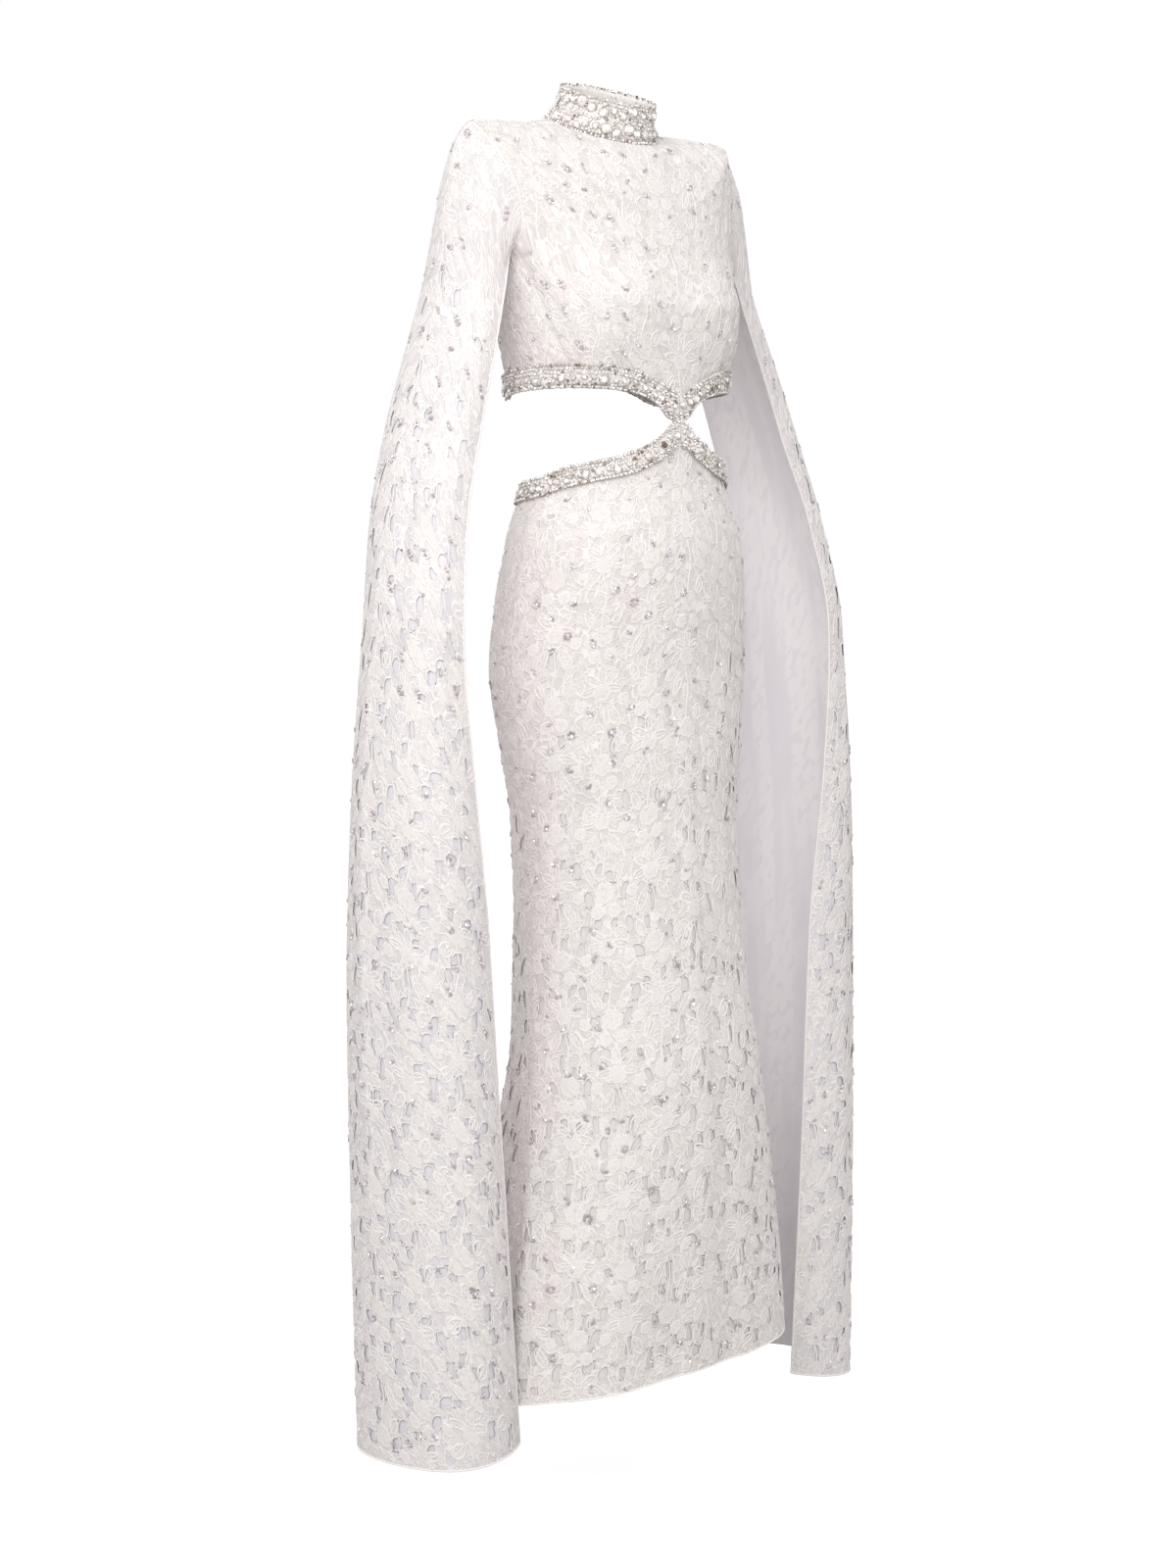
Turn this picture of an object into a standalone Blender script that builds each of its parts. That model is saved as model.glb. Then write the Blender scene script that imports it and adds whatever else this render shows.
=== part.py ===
"""Long lace dress with a jewelled stand collar, open cape sleeves and a crossed cut-out waist.

The dress keeps the hollow form in which it is worn. Its origin is the middle of the neck base,
its front looks along -Y, the wearer's left is +X and +Z is up. All lengths are in metres and all
angles in degrees. An angle round the body runs from 0 at the front centre through 90 at the
wearer's left side to 180 at the back centre.
"""
import math
from collections import namedtuple

import bmesh
import bpy
from mathutils import Vector

# Cloth walls and seams
LACE_THICKNESS = 0.0016
LINING_THICKNESS = 0.0010
LINING_CLEARANCE_TOP = 0.0008
LINING_CLEARANCE_HEM = 0.0034
SEAM_GAP = 0.0004

# Jewelled bands
BAND_THICKNESS = 0.0020
BAND_CLEARANCE = 0.0010
BAND_STONE_HEIGHT = 0.0030
BAND_STONES_LONG = 26
BAND_STONES_ACROSS = 2
BAND_ROW_SHARES = (0.0, 0.5, 1.0)
COLLAR_STONES_ROUND = 28

# Columns of cells round a front or back panel, as angles from its centre line
FRONT_COLUMNS = (0, 5, 12, 24, 38, 54, 72, 90)
BACK_COLUMNS = (0, 15, 30, 45, 60, 75, 90)

# Leaf-shaped gaps in the lace, inside their cells
LEAF_HALF_LENGTH = 0.0115
LEAF_HALF_WIDTH = 0.0042
LEAF_SHOULDER = 0.40
LEAF_LEAN = 24.0
LEAF_SHARE_OF_CELL_LENGTH = 0.36
LEAF_SHARE_OF_CELL_WIDTH = 0.22
SLEEVE_FIRST_GAP_ROW = 7
SKIRT_FIRST_GAP_ROW = 8

# Body ring: an ellipse at a power of 2, squarer above it
Ring = namedtuple("Ring", "half_width front_depth back_depth centre_y power", defaults=(2.0,))

# Bodice rows from the neck down. The height of a row goes from its side to its centre with a
# power of the angle, and armhole is the angle by which a row stops short of the side.
BodiceRow = namedtuple(
    "BodiceRow", "half_width front_depth back_depth centre_y side_z front_z back_z fall armhole")
BODICE_ROWS = (
    BodiceRow(0.0620, 0.0620, 0.0620, 0.004, -0.0096, -0.0319, 0.0127, 1.0, 0),
    BodiceRow(0.0860, 0.0780, 0.0720, 0.006, -0.0100, -0.0460, 0.0030, 1.4, 0),
    BodiceRow(0.1280, 0.0930, 0.0800, 0.010, -0.0110, -0.0680, -0.0180, 1.8, 0),
    BodiceRow(0.1760, 0.1080, 0.0860, 0.014, -0.0140, -0.0940, -0.0440, 2.0, 0),
    BodiceRow(0.1780, 0.1180, 0.0900, 0.016, -0.0400, -0.1170, -0.0780, 2.0, 18),
    BodiceRow(0.1760, 0.1240, 0.0920, 0.015, -0.0780, -0.1400, -0.1120, 2.0, 27),
    BodiceRow(0.1710, 0.1260, 0.0940, 0.012, -0.1180, -0.1610, -0.1430, 2.0, 27),
    BodiceRow(0.1640, 0.1270, 0.0960, 0.007, -0.1500, -0.1790, -0.1660, 2.0, 18),
    BodiceRow(0.1570, 0.1260, 0.0980, 0.002, -0.1650, -0.1950, -0.1840, 2.0, 0),
    BodiceRow(0.1500, 0.1230, 0.1000, -0.006, -0.2020, -0.2170, -0.2080, 2.0, 0),
    BodiceRow(0.1450, 0.1160, 0.1000, -0.013, -0.2400, -0.2480, -0.2350, 2.0, 0),
)
BODICE_BAND_RING = Ring(0.1380, 0.1080, 0.0980, -0.020)
BODICE_HEM_RING = Ring(0.1350, 0.1030, 0.0970, -0.022)

# Cups of a general figure, worked into the front panel
BUST_X = 0.083
BUST_Z = -0.222
BUST_HALF_WIDTH = 0.056
BUST_HALF_HEIGHT = 0.052
BUST_PROJECTION = 0.021

# Edges of the cut-out waist: height of each band edge at an angle round the body
WaistEdge = namedtuple("WaistEdge", "angle bodice_band bodice_hem")
BODICE_EDGES = (
    WaistEdge(0, -0.3120, -0.3398),
    WaistEdge(5, -0.3065, -0.3370),
    WaistEdge(12, -0.2985, -0.3210),
    WaistEdge(24, -0.2865, -0.3095),
    WaistEdge(38, -0.2810, -0.3050),
    WaistEdge(60, -0.2800, -0.3040),
    WaistEdge(80, -0.2815, -0.3055),
    WaistEdge(100, -0.2850, -0.3090),
    WaistEdge(125, -0.2900, -0.3140),
    WaistEdge(142, -0.2740, -0.2980),
    WaistEdge(160, -0.2660, -0.2900),
    WaistEdge(180, -0.2630, -0.2870),
)
SkirtEdge = namedtuple("SkirtEdge", "angle skirt_top skirt_band")
SKIRT_EDGES = (
    SkirtEdge(0, -0.3402, -0.3640),
    SkirtEdge(5, -0.3430, -0.3700),
    SkirtEdge(10, -0.3535, -0.3780),
    SkirtEdge(18, -0.3640, -0.3870),
    SkirtEdge(30, -0.3755, -0.3970),
    SkirtEdge(48, -0.3850, -0.4045),
    SkirtEdge(64, -0.3900, -0.4110),
    SkirtEdge(90, -0.4030, -0.4235),
    SkirtEdge(125, -0.4090, -0.4300),
    SkirtEdge(180, -0.4120, -0.4340),
)

# Skirt sections from the waist to the trumpet hem
SkirtSection = namedtuple("SkirtSection", "z half_width front_depth back_depth centre_y power")
SKIRT_SECTIONS = (
    SkirtSection(-0.335, 0.1190, 0.0920, 0.0930, -0.0360, 2.0),
    SkirtSection(-0.400, 0.1230, 0.0940, 0.0970, -0.0370, 2.0),
    SkirtSection(-0.470, 0.1470, 0.1080, 0.1090, -0.0370, 2.0),
    SkirtSection(-0.540, 0.1570, 0.1150, 0.1160, -0.0310, 2.0),
    SkirtSection(-0.615, 0.1620, 0.1160, 0.1170, -0.0260, 2.0),
    SkirtSection(-0.700, 0.1520, 0.1130, 0.1160, -0.0320, 2.0),
    SkirtSection(-0.780, 0.1400, 0.1100, 0.1140, -0.0370, 2.0),
    SkirtSection(-0.863, 0.1380, 0.1140, 0.1140, -0.0410, 2.0),
    SkirtSection(-0.973, 0.1420, 0.1170, 0.1160, -0.0470, 2.1),
    SkirtSection(-1.070, 0.1520, 0.1210, 0.1240, -0.0560, 2.2),
    SkirtSection(-1.160, 0.1640, 0.1240, 0.1440, -0.0560, 2.3),
    SkirtSection(-1.290, 0.1830, 0.1260, 0.1880, -0.0530, 2.5),
    SkirtSection(-1.430, 0.1960, 0.1280, 0.2300, -0.0500, 2.6),
    SkirtSection(-1.500, 0.2000, 0.1290, 0.2420, -0.0500, 2.6),
)
SKIRT_ROWS = 15
HemHeight = namedtuple("HemHeight", "angle z")
HEM_HEIGHTS = (
    HemHeight(-180, -1.4650),
    HemHeight(-135, -1.4500),
    HemHeight(-90, -1.4240),
    HemHeight(-45, -1.4110),
    HemHeight(0, -1.3960),
    HemHeight(45, -1.3860),
    HemHeight(90, -1.4080),
    HemHeight(135, -1.4450),
    HemHeight(180, -1.4650),
)

# Soft folds of the skirt: a ridge when its height is positive, a trough when it is negative.
# Each fold leans from its angle at the top to its angle at the hem, where it has its full height.
SkirtFold = namedtuple("SkirtFold", "top_z top_angle hem_angle half_angle height")
SKIRT_FOLDS = (
    SkirtFold(-0.90, 92, 78, 10, 0.0080),
    SkirtFold(-0.90, 110, 98, 11, -0.0090),
    SkirtFold(-0.90, -92, -78, 10, 0.0080),
    SkirtFold(-0.90, -110, -98, 11, -0.0090),
    SkirtFold(-1.00, 28, 33, 13, 0.0040),
    SkirtFold(-1.05, -26, -30, 12, 0.0035),
    SkirtFold(-1.00, 150, 146, 13, 0.0090),
    SkirtFold(-1.02, -148, -143, 14, 0.0080),
    SkirtFold(-1.05, 172, 170, 11, -0.0060),
)

# Sleeve sections below the underarm: an open arc of an ellipse. Its free edges stand at angles
# from the outward direction, towards the front and towards the back.
SleeveSection = namedtuple("SleeveSection", "z centre_x centre_y half_width half_depth front_end back_end")
SLEEVE_SECTIONS = (
    SleeveSection(-0.190, 0.1740, 0.0200, 0.0470, 0.0600, 92, 84),
    SleeveSection(-0.270, 0.2030, 0.0140, 0.0480, 0.0650, 97, 82),
    SleeveSection(-0.350, 0.2290, 0.0090, 0.0500, 0.0690, 98, 80),
    SleeveSection(-0.450, 0.2560, -0.0030, 0.0520, 0.0720, 93, 86),
    SleeveSection(-0.570, 0.2720, -0.0160, 0.0560, 0.0750, 91, 94),
    SleeveSection(-0.740, 0.2760, -0.0160, 0.0650, 0.0830, 104, 106),
    SleeveSection(-0.930, 0.2730, -0.0150, 0.0730, 0.0900, 117, 115),
    SleeveSection(-1.200, 0.2650, -0.0180, 0.0770, 0.0960, 122, 121),
    SleeveSection(-1.478, 0.2540, -0.0210, 0.0810, 0.1000, 126, 124),
)
SLEEVE_HEAD_ROWS = 4
SLEEVE_HEAD_REACH = 0.024
SLEEVE_HEAD_DROP = 0.090
SLEEVE_HEAD_LEAN = -0.10
SLEEVE_SEAM_FALL = -0.08
SLEEVE_SEAM_STAND = 0.006
SLEEVE_RING_STAND = 0.010
SLEEVE_ROWS = 22
SLEEVE_HEM_FRONT_RISE = 0.020
SLEEVE_HEM_BACK_RISE = 0.012

# Soft folds of a sleeve: across runs from 0 at the front edge to 1 at the back edge
SleeveFold = namedtuple("SleeveFold", "top_z across half_across height")
SLEEVE_FOLDS = (
    SleeveFold(-0.42, 0.24, 0.10, 0.0040),
    SleeveFold(-0.60, 0.44, 0.12, -0.0045),
    SleeveFold(-0.50, 0.66, 0.11, 0.0045),
    SleeveFold(-0.75, 0.84, 0.09, -0.0040),
)

# Stand collar: the middle of its ring, its size, and its fall towards the front
CollarRow = namedtuple("CollarRow", "half_width half_depth centre_y centre_z slope")
COLLAR_ROWS = (
    CollarRow(0.0622, 0.0622, 0.0040, -0.0090, 0.36),
    CollarRow(0.0560, 0.0565, 0.0000, 0.0030, 0.35),
    CollarRow(0.0530, 0.0535, -0.0040, 0.0150, 0.34),
    CollarRow(0.0525, 0.0530, -0.0080, 0.0270, 0.33),
)

# Linear colour, roughness and metallic value of each cloth
Finish = namedtuple("Finish", "colour roughness metallic")
LACE = Finish((0.86, 0.85, 0.84), 0.70, 0.0)
SLEEVE_LINING = Finish((0.70, 0.69, 0.74), 0.55, 0.0)
SKIRT_LINING = Finish((0.74, 0.71, 0.69), 0.60, 0.0)
JEWELS = Finish((0.80, 0.80, 0.80), 0.15, 0.7)


def clear_objects():
    """Remove the objects that the file starts with."""
    for item in list(bpy.data.objects):
        bpy.data.objects.remove(item, do_unlink=True)


def make_material(name, finish):
    """Principled material from a colour, a roughness and a metallic value."""
    material = bpy.data.materials.new(name)
    material.use_nodes = True
    shader = material.node_tree.nodes["Principled BSDF"]
    shader.inputs["Base Color"].default_value = (*finish.colour, 1.0)
    shader.inputs["Roughness"].default_value = finish.roughness
    shader.inputs["Metallic"].default_value = finish.metallic
    return material


def table_slopes(steps, rises):
    """Slope at each row of a table that keeps a curve through it free of overshoot."""
    slopes = [rises[0] / steps[0]]
    for index in range(1, len(steps)):
        before = rises[index - 1] / steps[index - 1]
        after = rises[index] / steps[index]
        slopes.append(0.0 if before * after <= 0 else 2 * before * after / (before + after))
    slopes.append(rises[-1] / steps[-1])
    return slopes


def read_table(rows, column, place):
    """Smooth value of one named column at a place along the first column of a table."""
    places = [row[0] for row in rows]
    values = [getattr(row, column) for row in rows]
    if places[0] > places[-1]:
        places.reverse()
        values.reverse()
    place = min(max(place, places[0]), places[-1])
    steps = [after - before for before, after in zip(places, places[1:])]
    rises = [after - before for before, after in zip(values, values[1:])]
    slopes = table_slopes(steps, rises)
    index = max(i for i in range(len(steps)) if place >= places[i])
    step = steps[index]
    t = (place - places[index]) / step
    start = (1 + 2 * t) * (1 - t) ** 2 * values[index] + t * (1 - t) ** 2 * step * slopes[index]
    end = t * t * (3 - 2 * t) * values[index + 1] + t * t * (t - 1) * step * slopes[index + 1]
    return start + end


def soft_hump(distance, half_width):
    """Rounded bump from 1 at its middle to 0 at three half widths."""
    return math.exp(-((distance / half_width) ** 2))


def signed_power(value, power):
    """Power of a number's size, with the number's sign."""
    return math.copysign(abs(value) ** power, value)


def ring_point(ring, angle, height):
    """Point on a body ring at an angle round the body."""
    turn = math.radians(angle)
    depth = ring.front_depth if math.cos(turn) > 0 else ring.back_depth
    x = ring.half_width * signed_power(math.sin(turn), 2 / ring.power)
    y = ring.centre_y - depth * signed_power(math.cos(turn), 2 / ring.power)
    return Vector((x, y, height))


def ring_normal(ring, angle):
    """Outward direction of a body ring at an angle round the body."""
    turn = math.radians(angle)
    depth = ring.front_depth if math.cos(turn) > 0 else ring.back_depth
    x = signed_power(math.sin(turn), 2 - 2 / ring.power) / ring.half_width
    y = -signed_power(math.cos(turn), 2 - 2 / ring.power) / depth
    return Vector((x, y, 0)).normalized()


def blend_rings(upper, lower, share):
    """Ring between two others."""
    return Ring(*(a * (1 - share) + b * share for a, b in zip(upper, lower)))


def bust_point(point, ring, angle):
    """Point moved out by the cups of a general figure."""
    rise = soft_hump(point.z - BUST_Z, BUST_HALF_HEIGHT)
    sides = soft_hump(point.x - BUST_X, BUST_HALF_WIDTH) + soft_hump(point.x + BUST_X, BUST_HALF_WIDTH)
    facing = max(0.0, math.cos(math.radians(angle)))
    return point + ring_normal(ring, angle) * (BUST_PROJECTION * rise * sides * facing)


def bodice_row_point(row, angle):
    """Point of the bodice on one row of its table."""
    ring = Ring(row.half_width, row.front_depth, row.back_depth, row.centre_y)
    facing = math.cos(math.radians(angle))
    centre_z = row.front_z if facing > 0 else row.back_z
    height = row.side_z + (centre_z - row.side_z) * abs(facing) ** row.fall
    return bust_point(ring_point(ring, angle, height), ring, angle)


def bodice_band_point(angle, share, out=0.0):
    """Point between the top of the bodice band (share 0) and the bodice hem (share 1)."""
    ring = blend_rings(BODICE_BAND_RING, BODICE_HEM_RING, share)
    turn = abs(angle)
    top = read_table(BODICE_EDGES, "bodice_band", turn)
    hem = read_table(BODICE_EDGES, "bodice_hem", turn)
    point = bust_point(ring_point(ring, angle, top + (hem - top) * share), ring, angle)
    return point + ring_normal(ring, angle) * out


def side_angles(columns, armhole, centre):
    """Angles of a row of points across a panel that stops short of its sides by the armhole."""
    reach = (90 - armhole) / 90
    steps = [-step for step in reversed(columns)] + list(columns[1:])
    return [centre + step * reach for step in steps]


def trim_side(row):
    """Row of points with its two ends drawn in by half a seam gap."""
    first = row[0] + (row[1] - row[0]).normalized() * SEAM_GAP / 2
    last = row[-1] + (row[-2] - row[-1]).normalized() * SEAM_GAP / 2
    return [first] + list(row[1:-1]) + [last]


def bodice_grid(columns, centre):
    """Outer points of a bodice panel, row by row from the neck to the cut-out waist."""
    grid = []
    for row in BODICE_ROWS:
        grid.append([bodice_row_point(row, angle) for angle in side_angles(columns, row.armhole, centre)])
    for share in BAND_ROW_SHARES:
        grid.append([bodice_band_point(angle if angle <= 180 else angle - 360, share)
                     for angle in side_angles(columns, 0, centre)])
    return [trim_side(row) for row in grid]


def skirt_ring(height):
    """Ring of the skirt at a height."""
    return Ring(*(read_table(SKIRT_SECTIONS, name, height) for name in Ring._fields))


def skirt_fold_height(angle, height, hem):
    """How far the folds move the skirt out at a point."""
    total = 0.0
    for fold in SKIRT_FOLDS:
        share = (fold.top_z - height) / (fold.top_z - hem)
        if share > 0:
            middle = fold.top_angle + (fold.hem_angle - fold.top_angle) * share
            away = (angle - middle + 180) % 360 - 180
            total += fold.height * min(share, 1.0) * soft_hump(away, fold.half_angle)
    return total


def skirt_point(angle, height, out=0.0):
    """Point on the skirt's outer face, or moved out from it."""
    ring = skirt_ring(height)
    hem = read_table(HEM_HEIGHTS, "z", angle)
    lift = skirt_fold_height(angle, height, hem) + out
    return ring_point(ring, angle, height) + ring_normal(ring, angle) * lift


def skirt_band_point(angle, share, out=0.0):
    """Point between the top of the skirt (share 0) and the lower edge of its band (share 1)."""
    top = read_table(SKIRT_EDGES, "skirt_top", abs(angle))
    low = read_table(SKIRT_EDGES, "skirt_band", abs(angle))
    return skirt_point(angle, top + (low - top) * share, out)


def skirt_grid(columns, centre):
    """Outer points of a skirt panel, row by row from the cut-out waist to the hem."""
    angles = [angle if angle <= 180 else angle - 360 for angle in side_angles(columns, 0, centre)]
    grid = [[skirt_band_point(angle, share) for angle in angles] for share in BAND_ROW_SHARES[:-1]]
    for index in range(SKIRT_ROWS + 1):
        row = []
        for angle in angles:
            top = skirt_band_point(angle, 1.0).z
            hem = read_table(HEM_HEIGHTS, "z", angle)
            row.append(skirt_point(angle, top + (hem - top) * index / SKIRT_ROWS))
        grid.append(row)
    return [trim_side(row) for row in grid]


def armhole_loop():
    """Points of the left armhole from the front of the underarm over the shoulder to its back."""
    arm_rows = [row for row in BODICE_ROWS if row.armhole]
    front = [bodice_row_point(row, 90 - row.armhole) for row in reversed(arm_rows)]
    back = [bodice_row_point(row, 90 + row.armhole) for row in arm_rows]
    shoulder = BODICE_ROWS[BODICE_ROWS.index(arm_rows[0]) - 1]
    return front + [bodice_row_point(shoulder, 90)] + back


def sleeve_ring_point(height, across, fall):
    """Point of the left sleeve's open arc. Fall runs from 0 at the underarm to 1 at the hem."""
    values = {name: read_table(SLEEVE_SECTIONS, name, height) for name in SleeveSection._fields[1:]}
    turn = math.radians(-values["front_end"] + (values["front_end"] + values["back_end"]) * across)
    normal = Vector((math.cos(turn) / values["half_width"], math.sin(turn) / values["half_depth"], 0))
    lift = 0.0
    for fold in SLEEVE_FOLDS:
        depth = (fold.top_z - height) / (fold.top_z - SLEEVE_SECTIONS[-1].z)
        lift += fold.height * max(0.0, depth) * soft_hump(across - fold.across, fold.half_across)
    rise = SLEEVE_HEM_FRONT_RISE * (1 - across) ** 3 + SLEEVE_HEM_BACK_RISE * across ** 3
    point = Vector((values["centre_x"] + values["half_width"] * math.cos(turn),
                    values["centre_y"] + values["half_depth"] * math.sin(turn),
                    height + rise * fall ** 2))
    return point + normal.normalized() * lift


def sleeve_head_curve(seam, ring, weight):
    """Points from the armhole seam to the first full arc, with a square shoulder at the top."""
    outward = Vector((1, 0, SLEEVE_SEAM_FALL))
    upward = Vector((SLEEVE_HEAD_LEAN, 0, 1))
    first = seam + outward * (SLEEVE_SEAM_STAND + SLEEVE_HEAD_REACH * weight)
    second = ring + upward * (SLEEVE_RING_STAND + SLEEVE_HEAD_DROP * weight)
    points = []
    for index in range(SLEEVE_HEAD_ROWS):
        t = index / SLEEVE_HEAD_ROWS
        points.append(seam * (1 - t) ** 3 + first * (3 * t * (1 - t) ** 2)
                      + second * (3 * t * t * (1 - t)) + ring * t ** 3)
    return points


def sleeve_grid():
    """Outer points of the left sleeve, row by row from the armhole to the hem."""
    loop = armhole_loop()
    lowest = min(point.z for point in loop)
    highest = max(point.z for point in loop)
    last = len(loop) - 1
    top = SLEEVE_SECTIONS[0].z
    head = []
    for index, point in enumerate(loop):
        weight = (point.z - lowest) / (highest - lowest)
        seam = point + Vector((SEAM_GAP, 0, 0))
        head.append(sleeve_head_curve(seam, sleeve_ring_point(top, index / last, 0.0), weight))
    grid = [list(row) for row in zip(*head)]
    for index in range(SLEEVE_ROWS + 1):
        fall = index / SLEEVE_ROWS
        height = top + (SLEEVE_SECTIONS[-1].z - top) * fall
        grid.append([sleeve_ring_point(height, column / last, fall) for column in range(last + 1)])
    return grid


def collar_grid():
    """Points of the collar's plain outer face, row by row from the top edge to its foot."""
    grid = []
    for row in reversed(COLLAR_ROWS):
        points = []
        for column in range(COLLAR_STONES_ROUND):
            turn = 2 * math.pi * column / COLLAR_STONES_ROUND
            y = row.centre_y - row.half_depth * math.cos(turn)
            z = row.centre_z + row.slope * (y - row.centre_y)
            points.append(Vector((row.half_width * math.sin(turn), y, z)))
        grid.append(points)
    return grid


def band_grid(place, side):
    """Points of half a jewelled band from the front centre to the back centre."""
    out = BAND_CLEARANCE + BAND_THICKNESS
    grid = []
    for row in range(BAND_STONES_ACROSS + 1):
        angles = [180 * column / BAND_STONES_LONG for column in range(BAND_STONES_LONG + 1)]
        if side < 0:
            angles.reverse()
        points = [place(side * angle, row / BAND_STONES_ACROSS, out) for angle in angles]
        grid.append(trim_side(points))
    return grid


def grid_normals(grid, closed):
    """Outward direction at every point of a grid."""
    rows = len(grid)
    columns = len(grid[0])
    normals = []
    for r in range(rows):
        line = []
        for c in range(columns):
            after = (c + 1) % columns if closed else min(c + 1, columns - 1)
            before = (c - 1) % columns if closed else max(c - 1, 0)
            along = grid[r][after] - grid[r][before]
            down = grid[min(r + 1, rows - 1)][c] - grid[max(r - 1, 0)][c]
            line.append(down.cross(along).normalized())
        normals.append(line)
    return normals


def share_seam(first, second, first_normals, second_normals):
    """Give two grids one direction along the seam from the first's last column to the second's first."""
    for r, (row, other) in enumerate(zip(first, second)):
        if (row[-1] - other[0]).length < 2 * SEAM_GAP:
            shared = (first_normals[r][-1] + second_normals[r][0]).normalized()
            first_normals[r][-1] = shared
            second_normals[r][0] = shared


def paired_normals(first, second):
    """Outward directions of two grids that meet at both of their ends."""
    first_normals = grid_normals(first, False)
    second_normals = grid_normals(second, False)
    share_seam(first, second, first_normals, second_normals)
    share_seam(second, first, second_normals, first_normals)
    return first_normals, second_normals


def offset_grid(grid, normals, distance):
    """Grid moved in by a distance along its outward directions."""
    return [[point - normal * distance for point, normal in zip(points, directions)]
            for points, directions in zip(grid, normals)]


def lining_grid(lace, normals):
    """Grid of the lining inside a lace wall: it hangs a little clearer towards the hem."""
    last = len(lace) - 1
    grid = []
    for r, (points, directions) in enumerate(zip(lace, normals)):
        clearance = LINING_CLEARANCE_TOP + (LINING_CLEARANCE_HEM - LINING_CLEARANCE_TOP) * r / last
        grid.append([point - normal * (LACE_THICKNESS + clearance)
                     for point, normal in zip(points, directions)])
    return grid


def mirror_grid(grid):
    """Grid for the other side of the body, with its columns turned to keep its face outwards."""
    return [[Vector((-point.x, point.y, point.z)) for point in reversed(row)] for row in grid]


def leaf_in_cell(corners, lean):
    """Six points of a leaf-shaped gap in a cell given by its four corners."""
    top_left, low_left, low_right, top_right = corners
    centre = (top_left + low_left + low_right + top_right) / 4
    down = (low_left + low_right - top_left - top_right) / 2
    along = (top_right + low_right - top_left - low_left) / 2
    down_unit = down.normalized()
    along_unit = along.normalized()
    length = min(LEAF_HALF_LENGTH, LEAF_SHARE_OF_CELL_LENGTH * down.length)
    width = min(LEAF_HALF_WIDTH, LEAF_SHARE_OF_CELL_WIDTH * along.length)
    turn = math.radians(lean)
    outline = ((0, -length), (width, -length * LEAF_SHOULDER), (width, length * LEAF_SHOULDER),
               (0, length), (-width, length * LEAF_SHOULDER), (-width, -length * LEAF_SHOULDER))
    points = []
    for x, y in outline:
        turned_x = x * math.cos(turn) - y * math.sin(turn)
        turned_y = x * math.sin(turn) + y * math.cos(turn)
        points.append(centre + along_unit * turned_x + down_unit * turned_y)
    return points


class Wall:
    """Closed cloth wall between a grid of outer points and the same grid moved in."""

    def __init__(self, outer, normals, thickness, closed=False):
        """Keep the outer grid and make the inner one."""
        self.closed = closed
        self.layers = (outer, offset_grid(outer, normals, thickness))
        self.mesh = bmesh.new()
        self.verts = [[[self.mesh.verts.new(p) for p in row] for row in layer] for layer in self.layers]
        self.rows = len(outer) - 1
        self.columns = len(outer[0]) - (0 if closed else 1)

    def cell(self, layer, r, c):
        """Corner vertices of a cell: top left, low left, low right, top right."""
        after = (c + 1) % len(self.verts[layer][0])
        grid = self.verts[layer]
        return [grid[r][c], grid[r + 1][c], grid[r + 1][after], grid[r][after]]

    def add_face(self, verts, layer):
        """Face that looks outwards on layer 0 and inwards on layer 1."""
        self.mesh.faces.new(verts if layer == 0 else list(reversed(verts)))

    def plain_cell(self, layer, r, c):
        """Fill a cell with two triangles, split the same way on both layers."""
        top_left, low_left, low_right, top_right = self.cell(layer, r, c)
        self.add_face([top_left, low_left, low_right], layer)
        self.add_face([top_left, low_right, top_right], layer)

    def fill(self, gaps, leans, stone_height):
        """Make the faces of both layers, with leaf gaps or raised stones in their cells."""
        for r in range(self.rows):
            for c in range(self.columns):
                if (r, c) in gaps:
                    self.gap_cell(r, c, leans[(r + c) % len(leans)])
                    continue
                self.plain_cell(1, r, c)
                if stone_height:
                    self.stone_cell(r, c, stone_height)
                else:
                    self.plain_cell(0, r, c)

    def gap_cell(self, r, c, lean):
        """Cut a leaf-shaped gap through one cell."""
        rings = []
        for layer in (0, 1):
            corners = self.cell(layer, r, c)
            leaf = [self.mesh.verts.new(p) for p in leaf_in_cell([v.co for v in corners], lean)]
            tl, ll, lr, tr = corners
            tip, ru, rl, foot, lw, lu = leaf
            for face in ((tl, tip, tr), (tip, ru, tr), (ru, rl, lr, tr), (rl, foot, lr),
                         (foot, ll, lr), (foot, lw, ll), (lw, lu, tl, ll), (lu, tip, tl)):
                self.add_face(face, layer)
            rings.append(leaf)
        for index in range(len(rings[0])):
            after = (index + 1) % len(rings[0])
            self.mesh.faces.new((rings[0][after], rings[0][index], rings[1][index], rings[1][after]))

    def stone_cell(self, r, c, height):
        """Raise the middle of a cell into a faceted stone."""
        corners = self.cell(0, r, c)
        middle = sum((v.co for v in corners), Vector()) / 4
        normal = (corners[1].co - corners[3].co).cross(corners[2].co - corners[0].co).normalized()
        peak = self.mesh.verts.new(middle + normal * height)
        for index in range(4):
            self.add_face((corners[index], corners[(index + 1) % 4], peak), 0)

    def close_edges(self):
        """Join the two layers along every free edge."""
        outer, inner = self.verts
        for c in range(self.columns):
            after = (c + 1) % len(outer[0])
            self.mesh.faces.new((outer[0][c], outer[0][after], inner[0][after], inner[0][c]))
            self.mesh.faces.new((outer[-1][after], outer[-1][c], inner[-1][c], inner[-1][after]))
        if not self.closed:
            for r in range(self.rows):
                self.mesh.faces.new((outer[r + 1][0], outer[r][0], inner[r][0], inner[r + 1][0]))
                self.mesh.faces.new((outer[r][-1], outer[r + 1][-1], inner[r + 1][-1], inner[r][-1]))


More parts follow.
